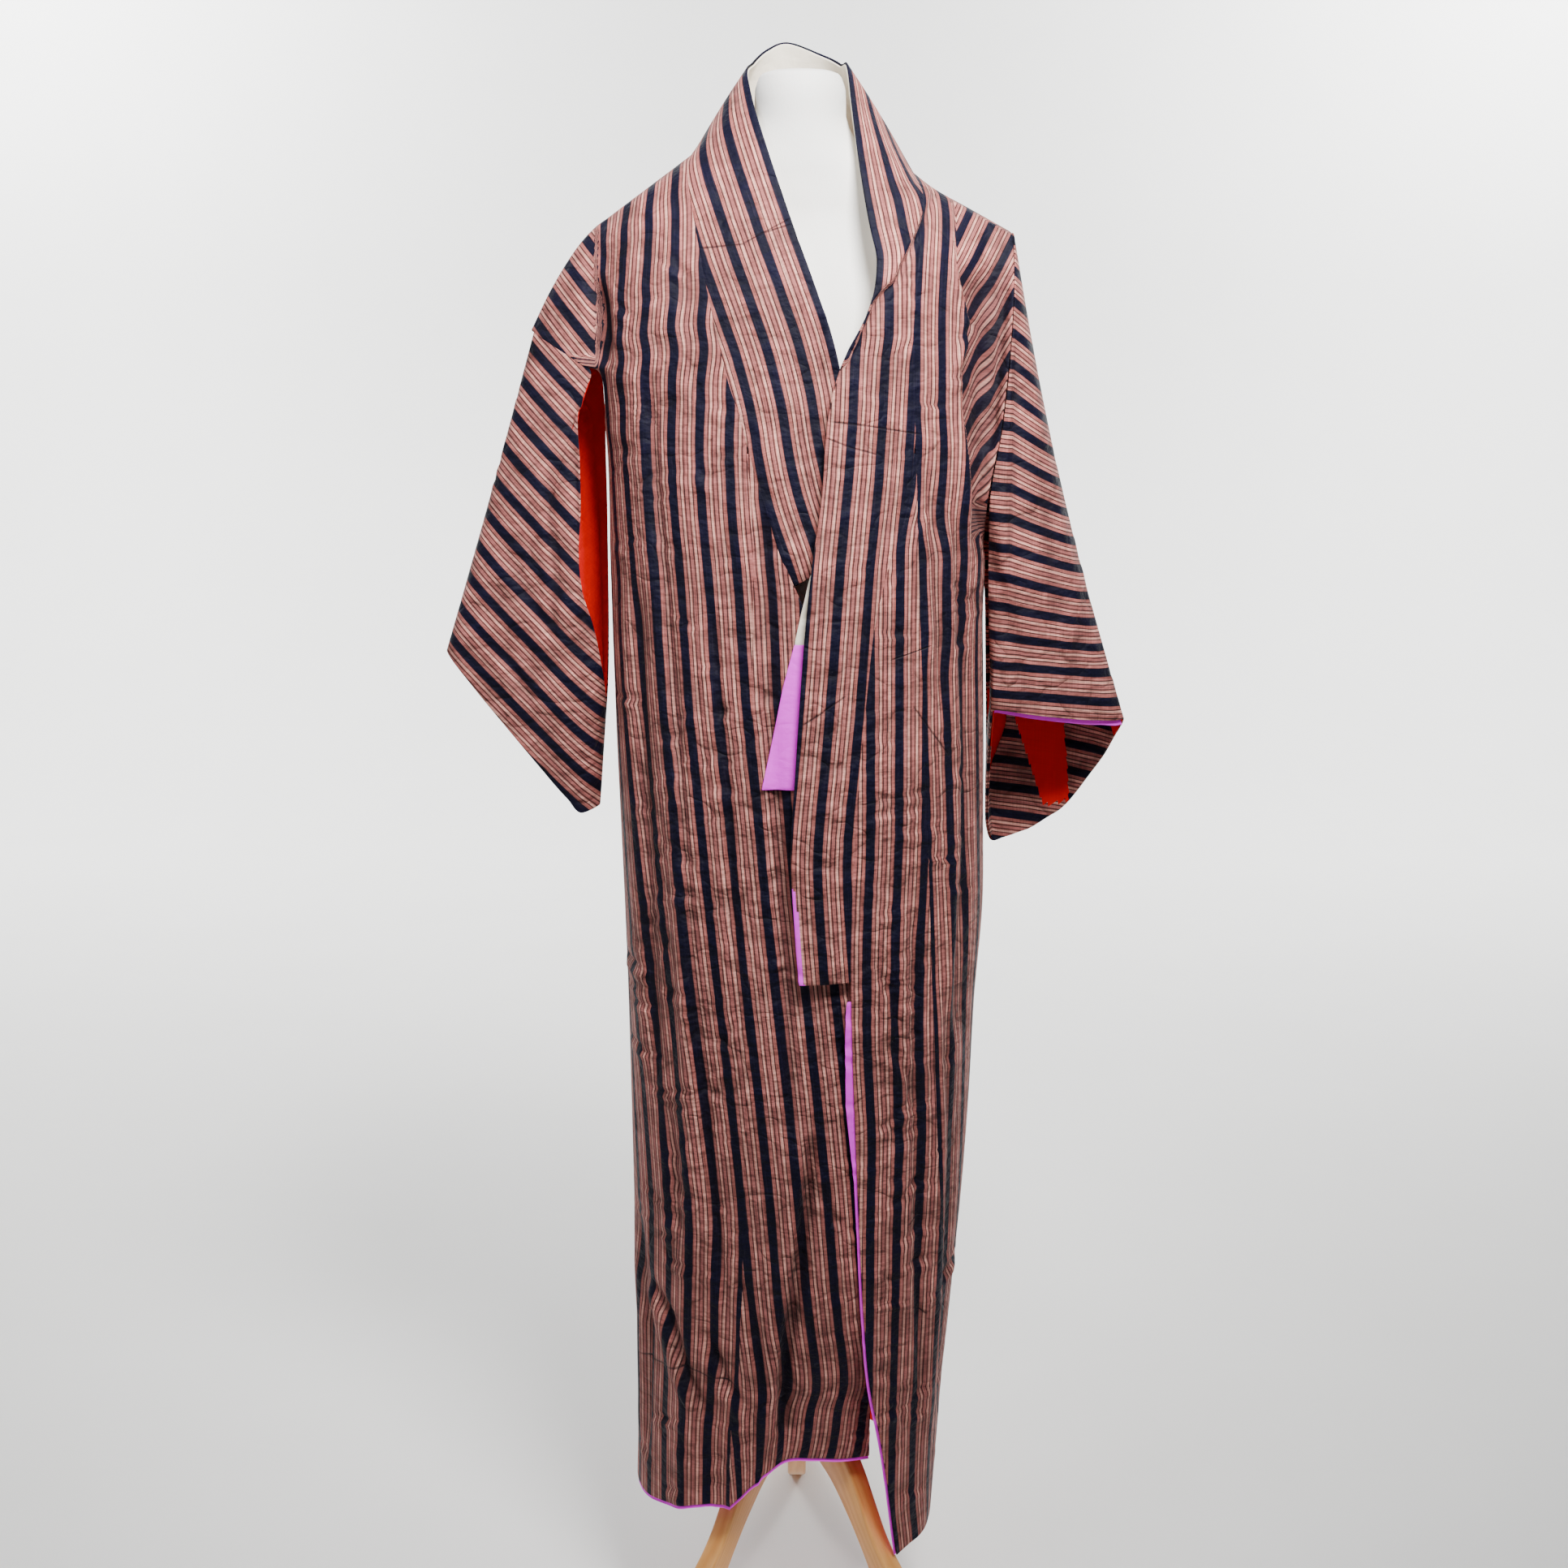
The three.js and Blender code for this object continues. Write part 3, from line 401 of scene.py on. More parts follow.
def collar_half(side):
    def edge(z):
        return point(COLLAR_EDGE[side], z)

    if side == "right":  # the lower end, tucked in behind its turned-out lining
        start, end = 1195, 1178
        out = [collar_strip(front(at(OKUMI_EDGE["right"], end) + 1.6, end, -2.5), edge(end + 2))]
    else:
        start = 787
        out = [collar_strip(front(at(OKUMI_EDGE["left"], start), start, LAP), edge(start))]
    for j, z in enumerate(OVERLAP_LEVELS):
        if z > 780 and z >= start:
            out.append(collar_strip(coarse["okumi_" + side][j][OKUMI_ACROSS], edge(z)))
    panel, low = coarse["panel_" + side], len(low_levels(side))
    for j in range(low - 1, top_row[side] + 1):
        if panel[j][ACROSS][2] > 1310:
            out.append(collar_strip(panel[j][ACROSS], edge(panel[j][ACROSS][2])))
    for n, t in enumerate(reversed(HIGH_BACK)):
        if t >= NECK_FROM:
            tip = point(COLLAR_TOP[side], (1 - t) / NECK_REST)
            out.append(collar_strip(panel[top_row[side] + 1 + n][ACROSS], tip))
    return out


collar_right, collar_left = collar_half("right"), collar_half("left")
middle = mix(np.array(collar_right[-1]), np.array(collar_left[-1]), 0.5)
coarse["collar"] = np.array(collar_right[:-1] + [middle] + collar_left[-2::-1])


# %% Rows of the sleeves
def sewn_edge(side, share, in_front):
    low, panel = len(low_levels(side)), coarse["panel_" + side]
    first = low if in_front else len(panel) - 1 - low
    key = mix(mix(top_row[side], first, SLEEVES[side]["start"]), first, share)
    j = int(math.floor(key))
    return mix(panel[j][0], panel[min(j + 1, len(panel) - 1)][0], key - j)


def seam_point(side, w):
    sl, half = SLEEVES[side], min(w, 1 - w)
    away = np.array(sl["away"]) * sl["apart"]
    if half > sl["sewn"][1]:
        return point(sl["seam"], w)
    first, last = sl["sewn"]
    if half >= first:
        return sewn_edge(side, (half - first) / (last - first), w < 0.5) + away
    share = 0.5 + 0.5 * (w if w < 0.5 else w - 1) / first
    return mix(sewn_edge(side, 0, True), sewn_edge(side, 0, False), 1 - share) + away


def sleeve_rows(side):
    sl, rows = SLEEVES[side], []
    for j in range(SLEEVE_ROWS + 1):
        v, row = j / SLEEVE_ROWS, []
        wave = math.sin(math.pi * v)
        for i in range(SLEEVE_LOOP):
            w = i / SLEEVE_LOOP
            p = mix(seam_point(side, w), point(sl["cuff"], w), v)
            bulge = sl["swell"] * wave * math.sin(2 * math.pi * w)
            fold = 5 * wave * math.sin(6 * math.pi * w) * (0.4 + 0.6 * v)
            sag = sl["sag"] * wave * max(0.0, math.cos(2 * math.pi * w))
            row.append(p + np.array([-sag, -(bulge + fold), 0]))
        rows.append(row)
    return np.array(rows)


coarse["sleeve_right"], coarse["sleeve_left"] = sleeve_rows("right"), sleeve_rows("left")
print("collar rows:", coarse["collar"].shape[0], "sleeve rows:", coarse["sleeve_left"].shape)


# %% [markdown]
# ## A finer grid
# Subdivision would round the corners off and shrink the cloth, so each grid is refined by a
# smooth curve through its own points instead. The fine sheet then passes through every point
# of the solid, and two sheets that share a seam still share it.

# %% Refining a grid of points
def refine(grid, rows, columns, loop=False, seam=0):
    knots = running(np.linalg.norm(np.diff(grid[:, seam], axis=0), axis=1))
    keys = spread(knots[-1], rows)
    tall = through(knots, grid, keys)
    if loop:
        tall = np.concatenate([tall[:, -2:], tall, tall[:, :3]], 1)
    gaps = np.linalg.norm(np.diff(tall, axis=1), axis=2).mean(0)
    knots = running(gaps)
    if loop:
        keys = knots[2] + np.arange(columns) / columns * (knots[-3] - knots[2])
    else:
        keys = spread(knots[-1], columns)
    return np.swapaxes(through(knots, np.swapaxes(tall, 0, 1), keys), 0, 1)


FINE = {"panel_right": (590, 78), "panel_left": (590, 78), "okumi_right": (330, 44),
        "okumi_left": (330, 40), "collar": (620, 30), "sleeve_right": (84, 190),
        "sleeve_left": (84, 190)}  # rows and columns
fine = {}
for name, (rows, columns) in FINE.items():
    seam = ACROSS if name.startswith("panel") else 0
    fine[name] = refine(coarse[name], rows, columns, name.startswith("sleeve"), seam)
plain = dict(fine)  # kept without creases: the loom knows nothing of them
print("fine grids:", {k: v.shape[:2] for k, v in fine.items()})


# %% [markdown]
# ## Normals of a sheet
# A wall has its thickness along the sheet's normal. Beside a seam the direction turns to the
# shared outward() one, so that two neighbouring walls stay side by side.

# %% Wall directions
FLIPPED = {"panel_left", "okumi_left", "sleeve_right"}


def sheet_normals(grid, name, loop=False):
    if loop:
        right, left = np.roll(grid, -1, 1), np.roll(grid, 1, 1)
    else:
        right = np.concatenate([grid[:, 1:], grid[:, -1:]], 1)
        left = np.concatenate([grid[:, :1], grid[:, :-1]], 1)
    up = np.concatenate([grid[1:], grid[-1:]], 0)
    down = np.concatenate([grid[:1], grid[:-1]], 0)
    n = unit(np.cross(right - left, up - down))
    return -n if name in FLIPPED else n


def share_outward(name, grid):
    """How far each wall follows outward(), by the column's share of the width."""
    nj, ni = grid.shape[:2]
    s = np.linspace(0, 1, ni)
    if name.startswith("panel"):
        inner = np.clip((s * ACROSS - (ACROSS - 2)) / 2, 0, 1)
        edge = np.clip(1 - s * ACROSS / 2, 0, 1)
        low = (grid[..., 2] < 1300)
        return np.maximum(inner[None], edge[None] * low)
    if name.startswith("okumi"):
        t = np.abs(s - 0.5) * 2
        return np.broadcast_to(0.3 + 0.7 * smooth(0.6, 1, t), (nj, ni))
    if name == "collar":
        return np.broadcast_to(0.4 + 0.6 * smooth(0.33, 0, s), (nj, ni))
    return np.zeros((nj, ni))


def wall_ways(name, grid):
    loop = name.startswith("sleeve")
    n = sheet_normals(grid, name, loop)
    w = np.array(share_outward(name, grid))[..., None]
    return unit(n * (1 - w) + outward(grid) * w)


# %% [markdown]
# ## Creases
# Cloth that hangs from one side breaks into soft troughs with a low ridge beside them. Each
# crease is a line of heights and places with a half width and a depth, and the same field
# moves every layer, so that the front layers never touch. The main ones are listed one by one,
# with uneven widths; short cross wrinkles are strewn between them from a fixed seed.

# %% Crease tables: front, then back (x and z of the line, half width, depth, lean)
FRONT_CREASES = [
    ([[-145, 1389], [-140, 1268], [-129, 1144], [-120, 1017], [-112, 870], [-101, 701],
      [-87, 526], [-71, 391]], 6, 3.6, 0.6),
    ([[-91, 1178], [-83, 1116], [-76, 1037], [-70, 957], [-66, 833], [-57, 706]], 5, 3.2, 0.5),
    ([[-39, 1270], [-32, 1156], [-27, 1039], [-19, 918], [-14, 794], [-8, 622]], 8, 4.5, 0.3),
    ([[15, 640], [6, 533], [-1, 470], [-11, 405], [-16, 349], [-16, 250]], 7, 11, 0.55),
    ([[21, 570], [32, 541], [48, 506]], 4, 4, 0.6),
    ([[-103, 400], [-89, 369], [-73, 334], [-60, 323], [-48, 290]], 6, 6, 0.7),
    ([[-167, 448], [-153, 424], [-138, 402], [-119, 343], [-100, 301], [-81, 276]], 6, 6, 0.7),
    ([[-174, 520], [-168, 444], [-160, 373], [-164, 293], [-168, 200]], 5, 4, 0.6),
    ([[-67, 475], [-46, 403], [-38, 348], [-28, 280]], 6, 6, 0.6),
    ([[-52, 360], [-47, 320], [-50, 262]], 5, 5, 0.5),
    ([[-133, 640], [-128, 560], [-124, 470]], 6, 3, 0.6),
    ([[-160, 1180], [-156, 1000], [-150, 800], [-146, 640]], 7, 3.4, 0.5),
    ([[87, 1270], [76, 1210], [71, 1149], [65, 1071]], 5, 2.6, 0.5),
    ([[118, 1315], [127, 1238], [135, 1145], [143, 1032]], 7, 2.8, 0.5),
    ([[150, 1252], [158, 1142], [165, 1027], [168, 910], [163, 792], [162, 687]], 6, 4, 0.5),
    ([[112, 872], [116, 745], [120, 613], [125, 430], [133, 285]], 6, 3.2, 0.5),
    ([[148, 780], [158, 600], [158, 415], [154, 245]], 6, 4, 0.6),
    ([[72, 811], [93, 766], [102, 714]], 5, 3, 0.6),
    ([[85, 733], [111, 677], [118, 623]], 5, 3, 0.6),
    ([[101, 780], [124, 768]], 3, 1.6, 0.8), ([[103, 761], [125, 748]], 3, 1.4, 0.8),
    ([[-120, 1500], [-106, 1440], [-98, 1380]], 8, 1.6, 0.6),
    ([[-196, 1470], [-192, 1420], [-188, 1376]], 8, 9, 0.3)]
BACK_CREASES = [
    ([[-150, 1340], [-140, 1200], [-134, 1000], [-128, 760], [-132, 520]], 8, 4, 0.6),
    ([[-92, 1500], [-84, 1380], [-88, 1220], [-92, 1000]], 9, 3, 0.5),
    ([[-30, 1180], [-34, 900], [-26, 620], [-20, 400]], 7, 4, 0.6),
    ([[34, 1240], [26, 1000], [30, 700], [22, 420]], 7, 3.6, 0.5),
    ([[86, 1480], [92, 1360], [88, 1180], [94, 960]], 9, 3, 0.5),
    ([[142, 1240], [138, 1060], [144, 800], [150, 560]], 7, 4, 0.6),
    ([[-150, 460], [-124, 400], [-96, 352], [-84, 300]], 7, 5, 0.7),
    ([[40, 520], [62, 440], [92, 380], [104, 300]], 7, 5, 0.7),
    ([[-70, 560], [-58, 460], [-62, 340], [-56, 240]], 6, 4.5, 0.6),
    ([[118, 480], [126, 380], [122, 260]], 6, 4, 0.6),
    ([[-8, 1420], [-4, 1300], [-6, 1160]], 5, 2, 0.5)]
STORAGE = [  # sharp small creases from folding the garment away
    ([[28, 1331], [46, 1329], [96, 1325], [115, 1316]], 1.7, 1.3, 0.7),
    ([[25, 1320], [41, 1311], [71, 1301]], 1.7, 1.3, 0.7),
    ([[4, 1044], [37, 1068], [50, 1080]], 1.9, 1.4, 0.7),
    ([[-96, 1490], [-56, 1493]], 1.6, 1.0, 0.7),
    ([[-43, 1514], [-9, 1517]], 1.6, 1.0, 0.7),
    ([[-41, 1504], [-9, 1510]], 1.6, 1.0, 0.7)]


# %% The crease field
def crease(x, z, line, half, deep, lean, fade=55.0):
    line = np.array(line, float)
    best, across, along, run = np.full(x.shape, 1e9), np.zeros(x.shape), np.zeros(x.shape), 0.0
    for a, b in zip(line[:-1], line[1:]):
        d, size = b - a, float(np.linalg.norm(b - a))
        t = np.clip(((x - a[0]) * d[0] + (z - a[1]) * d[1]) / size ** 2, 0, 1)
        dx, dz = x - a[0] - t * d[0], z - a[1] - t * d[1]
        dist = np.hypot(dx, dz)
        side = np.sign(dx * d[1] - dz * d[0])
        near = dist < best
        best = np.where(near, dist, best)
        across = np.where(near, dist * side, across)
        along = np.where(near, run + t * size, along)
        run += size
    fade = min(fade, run * 0.35)
    ends = smooth(0, fade, along) * smooth(0, fade, run - along)
    trough = np.exp(-(best / half) ** 2)
    ridge = np.exp(-((across - 1.9 * half) / (1.4 * half)) ** 2)
    return deep * ends * (lean * ridge - trough)


def strewn(seed, count, low, high, reach):
    """Short cross wrinkles: some level, some slanting, none longer than 6 cm."""
    draw, out = np.random.RandomState(seed), []
    for _ in range(count):
        x, z = draw.uniform(-reach, reach), draw.uniform(low, high)
        turn, size = draw.normal(0, 0.55), draw.uniform(16, 52)
        dx, dz = math.cos(turn) * size / 2, math.sin(turn) * size / 2
        bend = draw.uniform(-4, 4)
        line = [[x - dx, z - dz], [x + bend * 0.3, z + bend], [x + dx, z + dz]]
        out.append((line, draw.uniform(2.6, 5.0), draw.uniform(0.7, 1.8), 0.7))
    return out


FRONT_SMALL = strewn(7, 230, 190, 1060, 168) + strewn(12, 90, 900, 1500, 178)
BACK_SMALL = strewn(21, 200, 190, 1060, 168) + strewn(31, 70, 940, 1500, 168)
FOLD_EDGE = [[1240, 166], [1264, 165], [1296, 162], [1321, 158], [1341, 154], [1380, 153],
             [1396, 158], [1425, 161], [1450, 154], [1471, 147], [1500, 146]]
ROLL = [[1382, 41], [1397, 49], [1419, 58], [1441, 68], [1449, 74.5], [1458, 86], [1476, 93.7],
        [1494, 103.7], [1515, 113], [1541, 124.5]]
DEEPER, DEEPER_BY = 1.4, 1.3  # shallow creases deepen by the factor, deep ones by the millimetres


def relief(grid, in_front_only=False):
    """How far each point moves outwards."""
    x, y, z = grid[..., 0], grid[..., 1], grid[..., 2]
    sides = [(FRONT_CREASES + FRONT_SMALL + STORAGE, smooth(-6, -40, y))]
    if not in_front_only:
        sides.append((BACK_CREASES + BACK_SMALL, smooth(6, 40, y)))
    total = np.zeros(x.shape)
    for creases, share in sides:
        for line, half, deep, lean in creases:
            total += crease(x, z, line, half, min(deep * DEEPER, deep + DEEPER_BY), lean) * share
    return total


def tucked(grid):
    """The wearer's left front drops back behind a hanging fold beside the arm seam."""
    x, z = grid[..., 0], grid[..., 2]
    edge = read(FOLD_EDGE, z)
    band = smooth(1190, 1250, z) * smooth(1485, 1445, z) * smooth(-10, -40, grid[..., 1])
    return -8 * smooth(0, 6, x - edge) * band + 2.4 * np.exp(-((x - edge + 4) / 4) ** 2) * band


def turned_back(grid):
    """The upper collar opens like a lapel: beyond its roll it lies on top of the shoulder."""
    x, z = grid[..., 0], grid[..., 2]
    past = x - read(ROLL, z)
    band = smooth(1372, 1400, z) * smooth(1556, 1532, z) * smooth(10, -20, grid[..., 1]) * (x > 20)
    return (3.6 * smooth(2.5, -2.5, past) * smooth(-60, -20, past)
            - 2.0 * np.exp(-((past - 4) / 3.5) ** 2)) * band


# %% [markdown]
# ## Laying the creases on
# Troughs are held back close to the hem rims, the collar and the shoulder edges, where sewing
# keeps the cloth flat. How deep each point lies in a trough is kept, to paint shade into the
# silk's colour there.

# %% Moving the fine grids
DEEPEST, RISE_UNDER, RISE = 12, 4.6, 6.0  # an under layer rises less, so that no layers touch
# at these depths the painted crease shade is full
FULL_TROUGH = {"front": 5.5, "sleeve": 3.5}  # depth in mm that counts as a whole trough
crease_shade_depth = {}
for name in ("panel_right", "panel_left", "okumi_right", "okumi_left", "collar"):
    grid = fine[name]
    move = relief(grid)
    if name == "panel_left":
        move = move + tucked(grid) + turned_back(grid)
    if name == "collar":
        move = move * 0.5 * smooth(1560, 1500, grid[..., 2]) + turned_back(grid)
    s = np.linspace(0, 1, grid.shape[1])[None, :]
    if name.startswith("panel"):
        move = move * smooth(0, 0.06, s) * mix(0.55, 1.0, smooth(1.0, 0.9, s))
    if name.startswith("okumi"):
        move = move * mix(0.55, 1.0, smooth(0.0, 0.25, s)) * mix(0.5, 1.0, smooth(1.0, 0.8, s))
    under = name.endswith("right") or name == "collar"
    move = np.clip(move, -DEEPEST, RISE_UNDER if under else RISE)
    # crease depth from 0 to 1, kept for painted shade in the silk's colour
    crease_shade_depth[name] = np.clip(-move / FULL_TROUGH["front"], 0, 1)
    fine[name] = grid + wall_ways(name, grid) * move[..., None]
    print(name, "moved from", round(float(move.min()), 1), "to", round(float(move.max()), 1), "mm")


# %% Sleeve creases
SLEEVE_CREASES = {
    "right": [([[-246, 1300], [-247, 1240], [-243, 1170], [-252, 1100]], 5, 3.2, 0.6),
              ([[-300, 1210], [-268, 1150], [-240, 1100]], 7, 3, 0.6),
              ([[-330, 1120], [-290, 1080], [-262, 1030]], 6, 2.4, 0.6),
              ([[-222, 1330], [-214, 1200], [-216, 1090]], 6, 3, 0.4)],
    "left": [([[208, 1430], [209, 1340], [207, 1240], [206, 1160]], 4, 2.6, 0.8),
             ([[236, 1330], [244, 1220], [262, 1100]], 8, 2.6, 0.6),
             ([[292, 1170], [280, 1110], [276, 1050]], 7, 2.4, 0.6),
             ([[216, 1120], [222, 1070], [240, 1046]], 6, 2, 0.6)]}
for side in ("right", "left"):
    grid = fine["sleeve_" + side]
    x, z, move = grid[..., 0], grid[..., 2], np.zeros(grid.shape[:2])
    for line, half, deep, lean in SLEEVE_CREASES[side]:
        move += crease(x, z, line, half, deep, lean)
    reach = (-340, -205) if side == "right" else (205, 330)
    draw = np.random.RandomState(5 if side == "right" else 6)
    for _ in range(26):
        px, pz = draw.uniform(*reach), draw.uniform(930, 1360)
        turn = draw.normal(-0.8 if side == "right" else 0.1, 0.6)
        d = np.array([math.cos(turn), math.sin(turn)]) * draw.uniform(8, 22)
        move += crease(x, z, [[px - d[0], pz - d[1]], [px + d[0], pz + d[1]]],
                       draw.uniform(3, 5), draw.uniform(0.4, 1.1), 0.7)
    v = np.linspace(0, 1, grid.shape[0])[:, None]
    move *= smooth(0, 0.06, v) * mix(0.3, 1.0, smooth(1, 0.9, v))
    # crease depth from 0 to 1, kept for painted shade in the silk's colour
    crease_shade_depth["sleeve_" + side] = np.clip(-move / FULL_TROUGH["sleeve"], 0, 1)
    move = np.clip(move, -2.0, 4)[..., None]
    fine["sleeve_" + side] = grid + wall_ways("sleeve_" + side, grid) * move
ways = {name: wall_ways(name, grid) for name, grid in fine.items()}
# beside the right arm seam the rows crowd together and their normals can't be trusted
pinched = (fine["sleeve_right"][..., 1] < -30) & (ways["sleeve_right"][..., 1] > -0.8)
pinched[30:] = False
ways["sleeve_right"][pinched] = (-0.2, -0.98, 0.0)


# %% [markdown]
# ## Flat cloth coordinates
# Stripes and weave belong to the flat cloth, so each point gets its place on the loom: u
# across the cloth, v along it, in metres. u is counted from the middle of one navy stripe and
# measured over the folds, which keeps every stripe as wide as it was woven.

# %% Where a known navy stripe runs on each panel: height, x
STRIPE_RIGHT = [[90, -24], [196, -27], [348, -40], [458, -52], [566, -61], [670, -71], [773, -82],
                [873, -92], [971, -100], [1066, -109], [1160, -113], [1253, -121], [1344, -124],
                [1434, -120], [1524, -118], [1580, -118]]
STRIPE_LEFT = [[90, 142], [330, 141], [444, 138], [555, 137], [662, 135], [715, 132], [769, 127],
               [870, 124], [1019, 121], [1111, 118], [1206, 115], [1253, 113], [1345, 109],
               [1390, 108], [1479, 110], [1560, 113]]
STRIPE_OKUMI = [[90, 99], [288, 99], [401, 100], [511, 100], [618, 101], [723, 95], [825, 94],
                [924, 97], [1022, 96], [1117, 95], [1209, 95], [1253, 95], [1320, 97]]
STRIPE_COLLAR = [[1042, 27], [1102, 31.4], [1199, 37.6], [1279, 45], [1332, 48.5], [1390, 50.5],
                 [1440, 52.7]]
PERIOD = 29.5  # from one navy stripe to the next
SMOOTHED = 6  # rows to either side that a stripe's place is averaged over


def along_cloth(grid):
    gaps = np.linalg.norm(np.diff(grid, axis=0), axis=2).mean(1)
    return running(gaps)[:, None] + np.zeros(grid.shape[:2])


def run_across(grid):
    """Distance along each row from its first point."""
    gaps = np.linalg.norm(np.diff(grid, axis=1), axis=2)
    return np.concatenate([np.zeros((len(grid), 1)), np.cumsum(gaps, 1)], 1)


def crossing(past, run):
    """The run at which a row crosses a line; past is how far each point lies beyond the line."""
    return np.interp(0.0, np.maximum.accumulate(past + np.arange(len(past)) * 1e-6), run)


def across_from(grid, table, back_x=None):
    """Distance across each row from the stripe of the table; positive towards +X."""
    run, starts = run_across(grid), []
    sign = 1.0 if grid[0, -1, 0] > grid[0, 0, 0] else -1.0
    for j, row in enumerate(grid):
        line = read(table, row[:, 2])
        if back_x is not None:
            line = mix(line, back_x, smooth(-30, 30, row[:, 1]))
        starts.append(crossing((row[:, 0] - line) * sign, run[j]))
    pad = np.concatenate([np.full(SMOOTHED, starts[0]), starts, np.full(SMOOTHED, starts[-1])])
    width = 2 * SMOOTHED + 1
    starts = np.convolve(pad, np.ones(width) / width, "valid")
    return (run - starts[:, None]) * sign


flat = {}
for name, table, back_x in (("panel_right", STRIPE_RIGHT, -118.0),
                            ("panel_left", STRIPE_LEFT, 113.0), ("okumi_left", STRIPE_OKUMI, None)):
    flat[name] = np.stack([across_from(plain[name], table, back_x), along_cloth(plain[name])], -1)

# %% [markdown]
# The shoulder cap and the tucked strip beside the other arm hang askew, so their stripes run
# slanting down. Their u is taken square to that slant.

# %% Slanting stripes at the shoulders, and the right overlap panel
x, y, z = (plain["panel_right"][..., c] for c in range(3))
cap = smooth(-196, -199, x) * smooth(1376, 1390, z)
flat["panel_right"][..., 0] = mix(flat["panel_right"][..., 0],
                                  0.77 * (x + 237) + 0.64 * (z - 1443), cap)
x, y, z = (plain["panel_left"][..., c] for c in range(3))
aside = smooth(0, 2.5, x - read(FOLD_EDGE, z)) * smooth(1215, 1250, z) * smooth(10, -10, y)
flat["panel_left"][..., 0] = mix(flat["panel_left"][..., 0],
                                 0.56 * (z - 1418) - 1.05 * (x - 162.3), aside)

grid = plain["okumi_right"]
start = read(OKUMI_SEAM["right"], grid[:, 0, 2]) - read(STRIPE_RIGHT, grid[:, 0, 2])
flat["okumi_right"] = np.stack([run_across(grid) + start[:, None] * 1.03, along_cloth(grid)], -1)

# %% [markdown]
# On the wearer's left the collar's stripes are counted from one navy stripe whose places are
# known. Below the lowest of them its distance from the free edge runs on to a fixed one.
# Beyond the lapel's roll, and on the wearer's right, they are counted from the free edge.

# %% Stripes of the collar
LOWEST_KNOWN, LOW_END, LOW_GAP = 1046, 900, 24.5
grid = plain["collar"]
run, x, z = run_across(grid), grid[..., 0], grid[..., 2]
is_left = (np.arange(len(grid)) > len(grid) / 2)[:, None]
line, edge_z = read(STRIPE_COLLAR, z), z[:, -1]
gap = run[:, -1] - np.array([crossing(line[j] - x[j], run[j]) for j in range(len(grid))])
joint = len(grid) - 1 - int(np.argmax(edge_z[::-1] > LOWEST_KNOWN))
low_gap = np.interp(edge_z, [LOW_END, LOWEST_KNOWN], [LOW_GAP, gap[joint]])
gap = np.where(edge_z < LOWEST_KNOWN, low_gap, gap)
from_line = run[:, -1:] - gap[:, None] - run + PERIOD
from_line = mix(from_line, x - STRIPE_COLLAR[-1][1] + PERIOD, smooth(1385, 1415, z))
from_edge = run[:, -1:] - run - np.where(is_left, 1.0, 1.5)
inside_roll = np.maximum(smooth(-1.2, 1.2, x - read(ROLL, z)), smooth(1390, 1380, z))
under_roll = is_left * (z < 1560) * (grid[..., 1] < 0) * inside_roll
flat["collar"] = np.stack([mix(from_edge, from_line, under_roll), along_cloth(grid)], -1)

# %% Stripes of the sleeves, square to the cuff
CUFF_X, CUFF_Z = 0.725, 0.689  # the way across the right sleeve's stripes
x, y, z = (fine["sleeve_right"][..., c] for c in range(3))
flat["sleeve_right"] = np.stack([CUFF_X * (x + 361) + CUFF_Z * (z - 1096) - 14,
                                 CUFF_Z * x - CUFF_X * z], -1)
x, y, z = (fine["sleeve_left"][..., c] for c in range(3))
cuff_z = 1040 - (x - 208) * 0.11
droop = np.interp(z, [1080, 1200, 1350, 1500], [0, 0.25, 0.6, 0.6])
flat["sleeve_left"] = np.stack([z - cuff_z - 17.5 + droop * np.maximum(0, x - 207), x], -1)
for name in flat:
    flat[name] = flat[name] * MM


# %% [markdown]
# ## Cloth as closed shells
# A sheet gets an inner face and a rounded rim, so that a cut edge catches the light as a
# folded one does. The inner face has its own material, because the robe is lined.

# %% Building a shell
def ring_edges(nj, ni, loop):
    """Border points in order, each with its neighbour inside the sheet."""
    if loop:
        once, back = range(ni), range(ni - 1, -1, -1)
        return [([(0, i) for i in once], [(1, i) for i in once]),
                ([(nj - 1, i) for i in back], [(nj - 2, i) for i in back])]
    path = [(0, i) for i in range(ni)] + [(j, ni - 1) for j in range(1, nj)]
    path += [(nj - 1, i) for i in range(ni - 2, -1, -1)] + [(j, 0) for j in range(nj - 2, 0, -1)]
    inside = [(min(max(j, 1), nj - 2), min(max(i, 1), ni - 2)) for j, i in path]
    return [(path, inside)]


